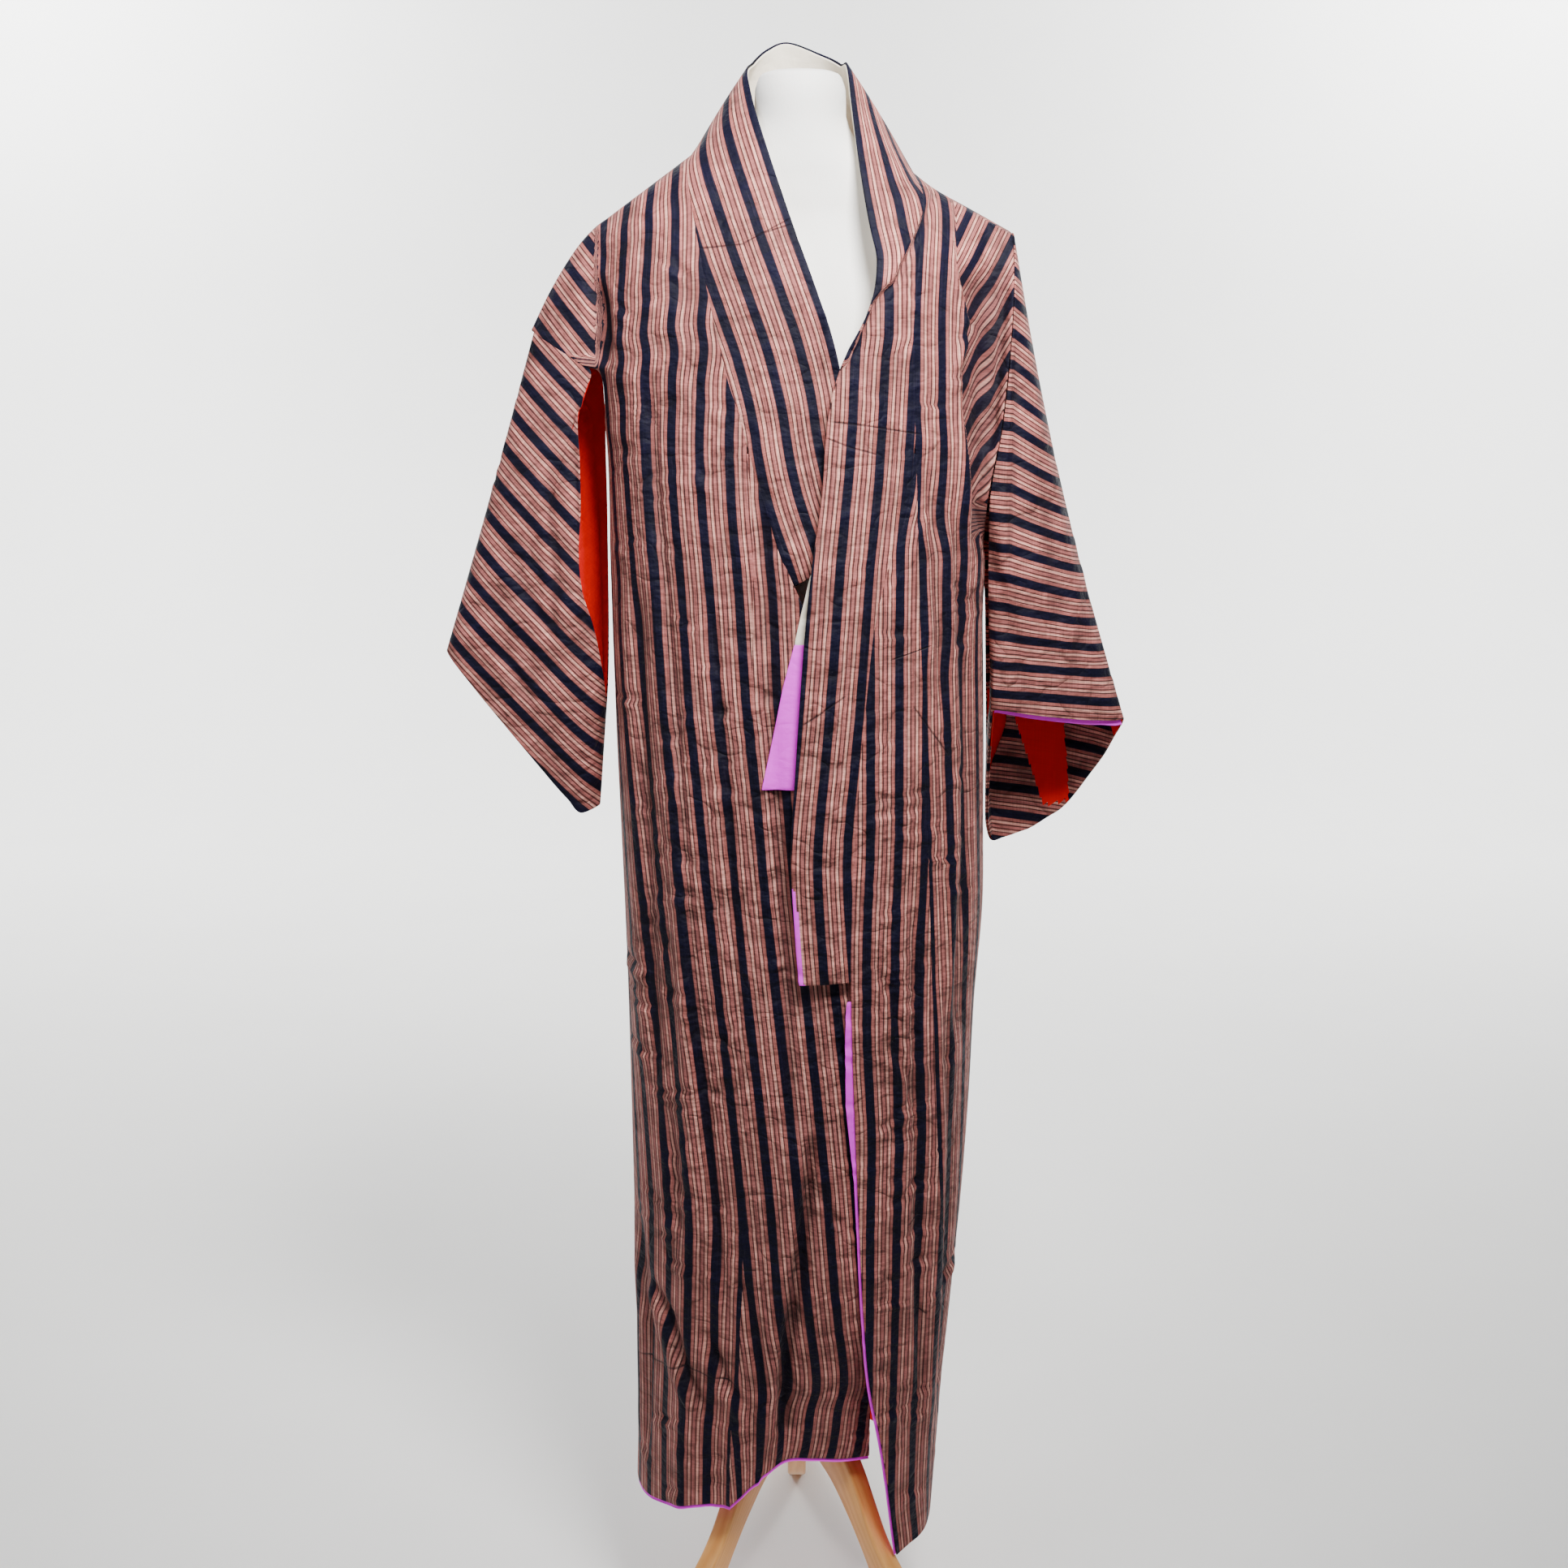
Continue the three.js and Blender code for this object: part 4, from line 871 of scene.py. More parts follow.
def make_shell(name, rows, way, uv, wall, outer_mat, inner_mat=None, inset=0.0, loop=False,
               flip=False, rim=3):
    nj, ni = rows.shape[:2]
    outer, inner = rows - way * inset, rows - way * (inset + wall)
    verts = [outer.reshape(-1, 3), inner.reshape(-1, 3)]
    uvs = [uv.reshape(-1, 2), uv.reshape(-1, 2)]
    count, faces, mats = 2 * nj * ni, [], []
    wide = ni if loop else ni - 1
    j, i = np.meshgrid(np.arange(nj - 1), np.arange(wide), indexing="ij")
    a, b = j * ni + i, j * ni + (i + 1) % ni
    c, d = (j + 1) * ni + (i + 1) % ni, (j + 1) * ni + i
    top = np.stack([a, b, c, d], -1).reshape(-1, 4)
    low = np.stack([a, d, c, b], -1).reshape(-1, 4) + nj * ni
    faces += [top, low]
    mats += [np.zeros(len(top), int), np.ones(len(low), int)]
    for path, inside in ring_edges(nj, ni, loop):
        pj, pi = np.array(path).T
        qj, qi = np.array(inside).T
        away = unit(rows[pj, pi] - rows[qj, qi])
        mid, up, r = (outer[pj, pi] + inner[pj, pi]) / 2, way[pj, pi], wall / 2
        rings = [pj * ni + pi]
        for k in range(1, rim + 1):
            turn = math.pi * k / (rim + 1)
            verts.append(mid + up * (r * math.cos(turn)) + away * (r * math.sin(turn)))
            uvs.append(uv[pj, pi])
            rings.append(count + np.arange(len(pj)))
            count += len(pj)
        rings.append(nj * ni + pj * ni + pi)
        for one, two in zip(rings[:-1], rings[1:]):
            f = np.stack([one, two, np.roll(two, -1), np.roll(one, -1)], -1)
            faces.append(f)
            mats.append(np.zeros(len(f), int))
    faces = np.concatenate(faces)
    if flip:
        faces = faces[:, ::-1]
    materials = [m for m in (outer_mat, inner_mat) if m is not None]
    return build_mesh(name, np.concatenate(verts), faces.tolist(), np.concatenate(uvs),
                      np.concatenate(mats), materials)


def paint_crease_shade(piece, name):
    """Stores how deep each vertex lies in a crease, from 0 to 1, for the material's painted crease
    shade.
    """
    depth = crease_shade_depth[name].reshape(-1)
    values = np.zeros(len(piece.data.vertices), np.float32)
    values[:len(depth)] = depth
    values[len(depth):2 * len(depth)] = depth
    layer = piece.data.attributes.new("trough", "FLOAT", "POINT")
    layer.data.foreach_set("value", values)


def build_mesh(name, verts, faces, uvs, slots, materials):
    """A smooth piece from points in table millimetres, with flat cloth places at its corners."""
    mesh = bpy.data.meshes.new(name)
    mesh.from_pydata(((verts + SHIFT) * MM).tolist(), [], faces)
    layer = mesh.uv_layers.new(name="flat")
    corners = np.fromiter(chain.from_iterable(faces), int)
    layer.data.foreach_set("uv", uvs[corners].astype(np.float32).ravel())
    mesh.polygons.foreach_set("use_smooth", np.ones(len(faces), bool))
    for material in materials:
        mesh.materials.append(material)
    slots = np.minimum(slots, len(materials) - 1).astype(np.int32)
    mesh.polygons.foreach_set("material_index", slots)
    mesh.update()
    piece = bpy.data.objects.new(name, mesh)
    bpy.context.scene.collection.objects.link(piece)
    return piece


def cloth_area(piece):
    areas = np.zeros(len(piece.data.polygons), np.float32)
    piece.data.polygons.foreach_get("area", areas)
    return float(areas.sum()) / 2


# %% [markdown]
# ## Weave and stripes
# The cloth is a spun silk with uneven yarns: a navy stripe about 8 mm wide, then salmon ground
# with thin brown and cream threads. One node group gives the stripe colours from u, another
# gives the yarns: their light and dark streaks and the height of the weave. Both are used by
# more than one material, so they are groups with named sockets.

# %% Node helpers
def group(name, inputs, outputs):
    tree = bpy.data.node_groups.new(name, "ShaderNodeTree")
    for kind, label in inputs:
        tree.interface.new_socket(label, in_out="INPUT", socket_type=kind)
    for kind, label in outputs:
        tree.interface.new_socket(label, in_out="OUTPUT", socket_type=kind)
    return tree, tree.nodes.new("NodeGroupInput"), tree.nodes.new("NodeGroupOutput")


def wire(tree, source, target):
    tree.links.new(source, target)


def put(tree, value, socket):
    if isinstance(value, bpy.types.NodeSocket):
        wire(tree, value, socket)
    else:
        socket.default_value = value


def math_node(tree, kind, a, b=None, c=None, clamp=False):
    n = tree.nodes.new("ShaderNodeMath")
    n.operation, n.use_clamp = kind, clamp
    for k, value in enumerate((a, b, c)):
        if value is not None:
            put(tree, value, n.inputs[k])
    return n.outputs[0]


def times(tree, a, b):
    return math_node(tree, "MULTIPLY", a, b)


def plus(tree, a, b):
    return math_node(tree, "ADD", a, b)


def scaled(tree, a, factor, shift, clamp=False):
    return math_node(tree, "MULTIPLY_ADD", a, factor, shift, clamp)


def vector_node(tree, kind, a, b=None, scale=None):
    n = tree.nodes.new("ShaderNodeVectorMath")
    n.operation = kind
    put(tree, a, n.inputs[0])
    if b is not None:
        put(tree, b, n.inputs[1])
    if scale is not None:
        put(tree, scale, n.inputs["Scale"])
    return n.outputs["Value"] if kind in ("DOT_PRODUCT", "LENGTH") else n.outputs["Vector"]


def blend_colour(tree, share, a, b, kind="MIX"):
    n = tree.nodes.new("ShaderNodeMix")
    n.data_type, n.blend_type = "RGBA", kind
    put(tree, share, n.inputs[0])
    put(tree, a, n.inputs[6])
    put(tree, b, n.inputs[7])
    return n.outputs[2]


def noise(tree, vector, scale, detail=2.0, rough=0.5):
    n = tree.nodes.new("ShaderNodeTexNoise")
    n.inputs["Scale"].default_value = scale
    n.inputs["Detail"].default_value = detail
    n.inputs["Roughness"].default_value = rough
    wire(tree, vector, n.inputs["Vector"])
    return n.outputs["Fac"]


def stretched(tree, vector, scale):
    n = tree.nodes.new("ShaderNodeMapping")
    n.inputs["Scale"].default_value = scale
    wire(tree, vector, n.inputs["Vector"])
    return n.outputs["Vector"]


def streaks(tree, vector, scale, detail=2.0, rough=0.5):
    """Noise that is drawn out by another scale along each axis."""
    return noise(tree, stretched(tree, vector, scale), 1.0, detail, rough)


def linear(colour):
    """An sRGB colour from 0 to 255 as linear RGBA."""
    c = np.array(colour, float) / 255
    c = np.where(c <= 0.04045, c / 12.92, ((c + 0.055) / 1.055) ** 2.4)
    return (*[float(v) for v in c], 1.0)


# %% Node group: stripes of the warp
NAVY, SALMON, BROWN = (4, 3, 27), (150, 87, 81), (52, 27, 28)
CREAM, ROSE, EDGE = (192, 137, 125), (150, 89, 85), (30, 17, 26)
STRIPE_STOPS = [
    (0.0, NAVY), (0.136, NAVY), (0.152, EDGE), (0.168, SALMON), (0.262, ROSE),
    (0.276, BROWN), (0.298, BROWN), (0.312, CREAM), (0.372, CREAM), (0.388, SALMON),
    (0.418, BROWN), (0.436, BROWN), (0.452, ROSE), (0.545, ROSE), (0.560, BROWN),
    (0.582, BROWN), (0.598, SALMON), (0.628, CREAM), (0.690, CREAM), (0.704, BROWN),
    (0.726, BROWN), (0.742, SALMON), (0.832, SALMON), (0.848, EDGE), (0.864, NAVY)]
stripes, gi, go = group("warp_stripes",
                        [("NodeSocketVector", "Cloth"), ("NodeSocketFloat", "Repeat")],
                        [("NodeSocketColor", "Colour"), ("NodeSocketFloat", "Navy")])
part = stripes.nodes.new("ShaderNodeSeparateXYZ")
wire(stripes, gi.outputs["Cloth"], part.inputs[0])
wander = streaks(stripes, gi.outputs["Cloth"], (160.0, 26.0, 1.0))
wander = scaled(stripes, wander, 0.0011, -0.00055)
shifted = plus(stripes, part.outputs[0], wander)
repeats = math_node(stripes, "DIVIDE", shifted, gi.outputs["Repeat"])
turn = math_node(stripes, "FRACT", repeats)
ramp = stripes.nodes.new("ShaderNodeValToRGB")
for k, (place, colour) in enumerate(STRIPE_STOPS):
    stop = ramp.color_ramp.elements[k] if k < 2 else ramp.color_ramp.elements.new(place)
    stop.position, stop.color = place, linear(colour)
wire(stripes, turn, ramp.inputs[0])
wire(stripes, ramp.outputs[0], go.inputs["Colour"])
away = math_node(stripes, "ABSOLUTE", math_node(stripes, "SUBTRACT", turn, 0.5))
wire(stripes, scaled(stripes, away, 40.0, -14.2, clamp=True), go.inputs["Navy"])

# %% Node group: uneven yarns and their weave
yarn, gi, go = group("silk_yarns", [("NodeSocketVector", "Cloth"), ("NodeSocketFloat", "Thread")],
                     [("NodeSocketFloat", "Streak"), ("NodeSocketFloat", "Cross"),
                      ("NodeSocketFloat", "Height")])
streak = streaks(yarn, gi.outputs["Cloth"], (900.0, 14.0, 1.0), 4.0, 0.65)
cross = streaks(yarn, gi.outputs["Cloth"], (22.0, 700.0, 1.0), 4.0, 0.6)
part = yarn.nodes.new("ShaderNodeSeparateXYZ")
wire(yarn, gi.outputs["Cloth"], part.inputs[0])
warp = times(yarn, math_node(yarn, "DIVIDE", part.outputs[0], gi.outputs["Thread"]), math.pi)
weft = times(yarn, math_node(yarn, "DIVIDE", part.outputs[1], gi.outputs["Thread"]), math.pi)
over = times(yarn, math_node(yarn, "SINE", warp), math_node(yarn, "SINE", weft))
height = plus(yarn, times(yarn, over, 0.18),
              plus(yarn, times(yarn, streak, 0.6), times(yarn, cross, 0.45)))
wire(yarn, streak, go.inputs["Streak"])
wire(yarn, cross, go.inputs["Cross"])
wire(yarn, height, go.inputs["Height"])

# %% Node group: crumple, the softest wrinkles of worn cloth
crumple, gi, go = group("soft_crumple", [("NodeSocketVector", "Place")],
                        [("NodeSocketFloat", "Height")])
broad = streaks(crumple, gi.outputs["Place"], (26.0, 26.0, 38.0), 3.0, 0.55)
small = streaks(crumple, gi.outputs["Place"], (90.0, 90.0, 150.0), 3.0, 0.5)
lines = streaks(crumple, gi.outputs["Place"], (15.0, 15.0, 19.0), 2.0, 0.6)
lines = math_node(crumple, "ABSOLUTE", scaled(crumple, lines, 2.0, -1.0))
lines = math_node(crumple, "POWER", math_node(crumple, "SUBTRACT", 1.0, lines), 14.0)
fine_part = scaled(crumple, small, 0.34, broad)
wire(crumple, scaled(crumple, lines, -0.16, fine_part), go.inputs["Height"])


# %% [markdown]
# Sharp creases from folding the garment away are far thinner than a face of the mesh, so they
# are drawn in the material: a group gives 1 on a straight line between two places and fades
# to 0 within its width. The silk takes it as a dip in its bump and as painted shade in its colour.

# %% Node group: one sharp crease between two places
line_group, gi, go = group("sharp_crease",
                           [("NodeSocketVector", "Place"), ("NodeSocketVector", "From"),
                            ("NodeSocketVector", "To"), ("NodeSocketFloat", "Width")],
                           [("NodeSocketFloat", "Depth")])
level = vector_node(line_group, "MULTIPLY", gi.outputs["Place"], (1.0, 0.0, 1.0))
way = vector_node(line_group, "SUBTRACT", gi.outputs["To"], gi.outputs["From"])
here = vector_node(line_group, "SUBTRACT", level, gi.outputs["From"])
share = math_node(line_group, "DIVIDE", vector_node(line_group, "DOT_PRODUCT", here, way),
                  vector_node(line_group, "DOT_PRODUCT", way, way), clamp=True)
nearest = vector_node(line_group, "SCALE", way, scale=share)
far = vector_node(line_group, "LENGTH", vector_node(line_group, "SUBTRACT", here, nearest))
widths = math_node(line_group, "DIVIDE", far, gi.outputs["Width"])
near = math_node(line_group, "SUBTRACT", 1.0, widths, clamp=True)
ends = times(line_group, share, math_node(line_group, "SUBTRACT", 1.0, share))
ends = math_node(line_group, "MULTIPLY", ends, 9.0, clamp=True)
depth = times(line_group, math_node(line_group, "POWER", near, 1.6), ends)
wire(line_group, depth, go.inputs["Depth"])
SHARP = [  # from x, z to x, z in table millimetres, half width
    (28, 1331, 62, 1327, 1.5), (56, 1328, 116, 1318, 1.3), (24, 1316, 50, 1306, 1.5),
    (44, 1308, 74, 1300, 1.3), (2, 1046, 24, 1060, 1.6), (20, 1058, 44, 1074, 1.4),
    (-96, 1489, -50, 1493, 1.3), (-56, 1492, -8, 1517, 1.1), (-44, 1500, -8, 1511, 1.2),
    (108, 1062, 150, 1002, 1.5), (86, 1106, 128, 1118, 1.0), (112, 516, 124, 524, 1.4),
    (-176, 330, -112, 352, 1.6), (-120, 350, -66, 338, 1.5), (118, 420, 136, 404, 1.3)]


# %% [markdown]
# ## Cloth materials
# The striped silk is matt with a faint sheen, so light slides over the folds. Wear shows as
# slightly paler threads on the ridges of the streaks. Shade is also painted into its colour:
# darker in the crease troughs and along the sharp folding creases, and darker in the hollows
# of the soft crumple, lighter on its rises. The linings are plain glossy silk in scarlet,
# pink-violet and off-white, and only the colours and the strength of the weave differ.

# %% Materials for silk
def new_material(name):
    m = bpy.data.materials.new(name)
    m.use_nodes = True
    m.node_tree.nodes.clear()
    out = m.node_tree.nodes.new("ShaderNodeOutputMaterial")
    shader = m.node_tree.nodes.new("ShaderNodeBsdfPrincipled")
    wire(m.node_tree, shader.outputs[0], out.inputs["Surface"])
    return m, m.node_tree, shader


def place_group(tree, source, **values):
    n = tree.nodes.new("ShaderNodeGroup")
    n.node_tree = source
    for label, value in values.items():
        put(tree, value, n.inputs[label])
    return n


def bump(tree, height, strength, distance):
    n = tree.nodes.new("ShaderNodeBump")
    n.inputs["Strength"].default_value = strength
    n.inputs["Distance"].default_value = distance
    wire(tree, height, n.inputs["Height"])
    return n.outputs[0]


WEAVE, LINING_WEAVE, LINING_CRUMPLE = 0.00022, 0.0001, 0.0014  # heights in metres


def striped_silk():
    m, tree, shader = new_material("striped_silk")
    cloth = tree.nodes.new("ShaderNodeUVMap")
    cloth.uv_map = "flat"
    where = tree.nodes.new("ShaderNodeTexCoord").outputs["Object"]
    bands = place_group(tree, stripes, Cloth=cloth.outputs[0], Repeat=PERIOD * MM)
    threads = place_group(tree, yarn, Cloth=cloth.outputs[0], Thread=0.0006)
    soft = place_group(tree, crumple, Place=where)
    # yarn streaks give the thread tone; the crumple height also darkens the colour in its hollows
    # and lightens it on its rises, painted shade of the soft wrinkles
    yarn_tone_and_crumple_shade = scaled(tree, threads.outputs["Streak"], 2.0, 0.0)
    yarn_tone_and_crumple_shade = times(tree, yarn_tone_and_crumple_shade, scaled(tree, threads.outputs["Cross"], 1.1, 0.45))
    yarn_tone_and_crumple_shade = times(tree, yarn_tone_and_crumple_shade, scaled(tree, soft.outputs["Height"], 1.5, 0.05))
    tone = tree.nodes.new("ShaderNodeCombineColor")
    for k in range(3):
        wire(tree, yarn_tone_and_crumple_shade, tone.inputs[k])
    colour = blend_colour(tree, 1.0, bands.outputs["Colour"], tone.outputs[0], "MULTIPLY")
    worn = scaled(tree, threads.outputs["Streak"], 3.2, -1.75, clamp=True)
    pale = scaled(tree, bands.outputs["Navy"], -0.17, 0.2)
    colour = blend_colour(tree, times(tree, worn, pale), colour, linear((222, 180, 170)))
    # sharp folding creases: a dip in the bump, and painted shade along each line in the colour
    sharp = 0.0
    for x0, z0, x1, z1, half in SHARP:
        ends = [((x + SHIFT[0]) * MM, 0.0, z * MM) for x, z in ((x0, z0), (x1, z1))]
        line = place_group(tree, line_group, Place=where, From=ends[0], To=ends[1],
                           Width=1.4 * half * MM)
        sharp = math_node(tree, "MAXIMUM", sharp, line.outputs[0])
    side = tree.nodes.new("ShaderNodeSeparateXYZ")
    wire(tree, where, side.inputs[0])
    sharp = times(tree, sharp, math_node(tree, "LESS_THAN", side.outputs[1], -0.06))
    # painted shade: the colour darkens towards dark purple by the stored crease depth and along the
    # sharp creases
    trough = tree.nodes.new("ShaderNodeAttribute")
    trough.attribute_name = "trough"
    dark = scaled(tree, trough.outputs["Fac"], 0.45, times(tree, sharp, 0.8), clamp=True)
    colour = blend_colour(tree, dark, colour, linear((20, 12, 20)))
    wire(tree, colour, shader.inputs["Base Color"])
    rough = scaled(tree, bands.outputs["Navy"], -0.08, 0.7)
    rough = scaled(tree, threads.outputs["Cross"], 0.1, rough)
    wire(tree, rough, shader.inputs["Roughness"])
    lower = scaled(tree, side.outputs[2], -2.0, 2.4, clamp=True)
    crushed = scaled(tree, lower, 0.0034, 0.0052)
    height = plus(tree, times(tree, threads.outputs["Height"], WEAVE),
                  times(tree, soft.outputs["Height"], crushed))
    height = math_node(tree, "SUBTRACT", height, times(tree, sharp, 0.0008))
    wire(tree, bump(tree, height, 1.0, 1.0), shader.inputs["Normal"])
    shader.inputs["Sheen Weight"].default_value = 0.03
    shader.inputs["Sheen Roughness"].default_value = 0.4
    shader.inputs["Specular IOR Level"].default_value = 0.16
    return m


def plain_silk(name, colour, deep, rough, sheen):
    m, tree, shader = new_material(name)
    cloth = tree.nodes.new("ShaderNodeUVMap")
    cloth.uv_map = "flat"
    where = tree.nodes.new("ShaderNodeTexCoord").outputs["Object"]
    threads = place_group(tree, yarn, Cloth=cloth.outputs[0], Thread=0.0004)
    soft = place_group(tree, crumple, Place=where)
    share = scaled(tree, threads.outputs["Streak"], 0.5,
                   times(tree, threads.outputs["Cross"], 0.5), clamp=True)
    shade = blend_colour(tree, share, linear(deep), linear(colour))
    wire(tree, shade, shader.inputs["Base Color"])
    wire(tree, scaled(tree, threads.outputs["Cross"], 0.16, rough),
         shader.inputs["Roughness"])
    height = plus(tree, times(tree, threads.outputs["Height"], LINING_WEAVE),
                  times(tree, soft.outputs["Height"], LINING_CRUMPLE))
    wire(tree, bump(tree, height, 1.0, 1.0), shader.inputs["Normal"])
    shader.inputs["Sheen Weight"].default_value = sheen
    shader.inputs["Specular IOR Level"].default_value = 0.18
    return m


SILK = striped_silk()
SCARLET = plain_silk("scarlet_lining", (250, 0, 2), (205, 0, 0), 0.55, 0.0)
VIOLET = plain_silk("violet_facing", (255, 62, 255), (240, 44, 238), 0.5, 0.0)
CREAMY = plain_silk("cream_lining", (246, 240, 226), (226, 216, 196), 0.5, 0.1)
print("materials:", [m.name for m in bpy.data.materials if m.users])


# %% [markdown]
# ## Sewing up the kimono
# Each sheet becomes one closed shell that stands for its solid. The body is lined with
# scarlet, and so are the bags of the sleeves. The flat size of each piece is its cut as far
# as it shows, with the cloth that lies hidden in the folds.

# %% Body panels, overlap panels and collar
def dress(piece, node, area):
    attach(piece, "root")
    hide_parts(node)
    print(piece.name, "area", round(cloth_area(piece), 3), "m2 of", area)
    return piece


WALL = 1.6  # what shows of a lined edge
for name, node, size, area in (
        ("panel_right", "body_panel_right", (0.30, 2.78), 0.70),
        ("panel_left", "body_panel_left", (0.30, 2.80), 0.62),
        ("okumi_right", "overlap_panel_right", (0.15, 1.15), 0.130),
        ("okumi_left", "overlap_panel_left", (0.15, 1.20), 0.110)):
    piece = make_shell(node + "_silk", fine[name], ways[name], flat[name], WALL, SILK, SCARLET,
                       flip=name in FLIPPED)
    dress(piece, node, area)
    paint_crease_shade(piece, name)
COLLAR_WALL = 2.4
piece = make_shell("collar_silk", fine["collar"], ways["collar"], flat["collar"], COLLAR_WALL,
                   SILK, CREAMY)
collar_piece = dress(piece, "collar", 0.15)
paint_crease_shade(collar_piece, "collar")


# %% [markdown]
# Some pieces show two cloths on one sheet, where a hem allowance is turned in or a facing is
# carried round an edge. There the faces get another material, chosen by their place.

# %% Second cloth on part of a sheet
def second_cloth(piece, material, chosen):
    """chosen takes the middles of all faces in table millimetres."""
    mesh = piece.data
    middles = np.zeros(len(mesh.polygons) * 3, np.float32)
    slots = np.zeros(len(mesh.polygons), np.int32)
    mesh.polygons.foreach_get("center", middles)
    mesh.polygons.foreach_get("material_index", slots)
    mesh.materials.append(material)
    pick = chosen(middles.reshape(-1, 3) / MM - SHIFT)
    slots[pick] = len(mesh.materials) - 1
    mesh.polygons.foreach_set("material_index", slots)
    mesh.update()
    print(piece.name, "second cloth on", int(pick.sum()), "faces")


VIOLET_BELOW, WIDER_BELOW = 884, 862  # heights on the collar's left end


def carried_round(p):
    """Faces of the collar's last two columns and its rim, near the lower end on the left."""
    rows, wide = fine["collar"].shape[0], fine["collar"].shape[1] - 1
    pick = np.zeros(len(p), bool)
    for j in range(rows // 2, rows - 1):
        height = fine["collar"][j, -1, 2]
        if height < VIOLET_BELOW:
            pick[j * wide + wide - 1] = True
            pick[j * wide + wide - 2] = height < WIDER_BELOW
    rim = 2 * (rows - 1) * wide
    pick[rim:] = (p[rim:, 2] < VIOLET_BELOW) & (p[rim:, 0] < 5)
    return pick


second_cloth(collar_piece, VIOLET, carried_round)

# %% [markdown]
# The seam allowance inside the left sleeve is striped, and so is the wide turning at the back
# of its open cuff. They are faces of the sleeve and of its lining, picked by their place.

# %% Striped cloth inside the left sleeve
CUFF_TOP = 1046
CUFF_RIM = [[205, 903], [241, 914], [275, 922], [300, 930]]


def allowance(p):
    """The seam allowance, which darkens the slit beside the body."""
    return (p[:, 0] < 217) & (p[:, 2] > CUFF_TOP)


def wide_allowance(p):
    """The allowance and the wide turning at the back of the open cuff."""
    drop = CUFF_TOP - p[:, 2]
    turning = ((p[:, 0] < 219 + 0.34 * drop) | (p[:, 0] > 277 + 0.1 * drop)
               | (p[:, 2] < read(CUFF_RIM, p[:, 0])))
    return allowance(p) | (p[:, 1] > 4) & turning


# %% Sleeves and their linings
rows = FINE["sleeve_right"][0]
lined = {"right": (int(rows / 9), int(rows * 5 / 9)), "left": (int(rows * 5 / 9), rows)}
for side, size in (("right", (0.33, 0.72)), ("left", (0.33, 0.70))):
    name = "sleeve_" + side
    piece = make_shell(name + "_silk", fine[name], ways[name], flat[name], WALL, SILK, SCARLET,
                       loop=True, flip=name in FLIPPED)
    dress(piece, name, 0.15)
    paint_crease_shade(piece, name)
    if side == "left":
        second_cloth(piece, SILK, allowance)
for side, (a, b) in lined.items():
    name = "sleeve_" + side
    piece = make_shell(name + "_lining_silk", fine[name][a:b], ways[name][a:b], flat[name][a:b],
                       LINING, SCARLET, inset=CLOTH + SEAM, loop=True, flip=name in FLIPPED)
    dress(piece, name + "_lining", 0.056)
    if side == "left":
        second_cloth(piece, SILK, wide_allowance)
print("sleeves done")


# %% [markdown]
# ## Facings
# The pink-violet facing lies behind the hem and comes round it as a padded roll a few
# millimetres deep, which saves the silk from rubbing on the floor. It is made from the
# panel's own bottom rows, moved in, with a few rows added below that curl outwards.

# %% Hem facings with a rolled rim
def grown(parts, lines, axis, end):
    """Adds lines of points past a sheet's first (0) or last (-1) line; the rest repeats."""
    out = []
    for k, part in enumerate(parts):
        edge = np.expand_dims(part.take(end, axis), axis)
        more = [np.expand_dims(a, axis) for a in lines] if k == 0 else [edge] * len(lines)
        out.append(np.concatenate(more[::-1] + [part] if end == 0 else [part] + more, axis))
    return out


HEM_ROLL = [(FUKI * 0.4, 0.3), (FUKI * 0.8, 0.9), (FUKI, 1.5)]  # mm down and outwards
FACING_TOP = 285
DOWN = np.array([0, 0, -1.0])
for name, parent, parent_piece, columns, size, area in (
        ("hem_facing_right", "panel_right", "body_panel_right_silk", 78, (0.24, 0.11), 0.0245),
        ("hem_facing_left", "panel_left", "body_panel_left_silk", 64, (0.16, 0.09), 0.0108),
        ("hem_facing_overlap", "okumi_right", "overlap_panel_right_silk", 44, (0.16, 0.09),
         0.0125)):
    last = int(np.argmax(fine[parent][:, 0, 2] > FACING_TOP))
    parts = [a[:last, :columns] for a in (fine[parent], ways[parent], flat[parent])]
    lines = [parts[0][0] + DOWN * down + parts[1][0] * out for down, out in HEM_ROLL]
    piece = make_shell(name + "_silk", *grown(parts, lines, 0, 0), LINING, VIOLET,
                       inset=CLOTH + SEAM, flip=parent in FLIPPED)
    dress(piece, name, area)

# %% [markdown]
# The same facing comes round the front edge of the upper overlap panel, widest at knee height,
# and a narrow one stands out past the front of the open cuff.

# %% Edge and cuff facings
EDGE_SHOWS = [[122, 2.5], [308, 3], [487, 2.5], [571, 3], [652, 8.5], [735, 6.5], [787, 3]]
STEPS = (0.3, 0.6, 0.85, 1.0)  # shares of what shows, one for each added line
last = int(np.argmax(fine["okumi_left"][:, -1, 2] > 768))
parts = [a["okumi_left"][:last, -9:] for a in (fine, ways, flat)]
edge = parts[0][:, -1]
away = unit(edge - parts[0][:, -2])
show = read(EDGE_SHOWS, edge[:, 2])[:, None]
piece = make_shell("edge_facing_left_silk",
                   *grown(parts, [edge + away * show * t for t in STEPS], 1, -1), LINING, VIOLET,
                   inset=CLOTH + SEAM, flip=True)
dress(piece, "edge_facing_left", 0.0195)

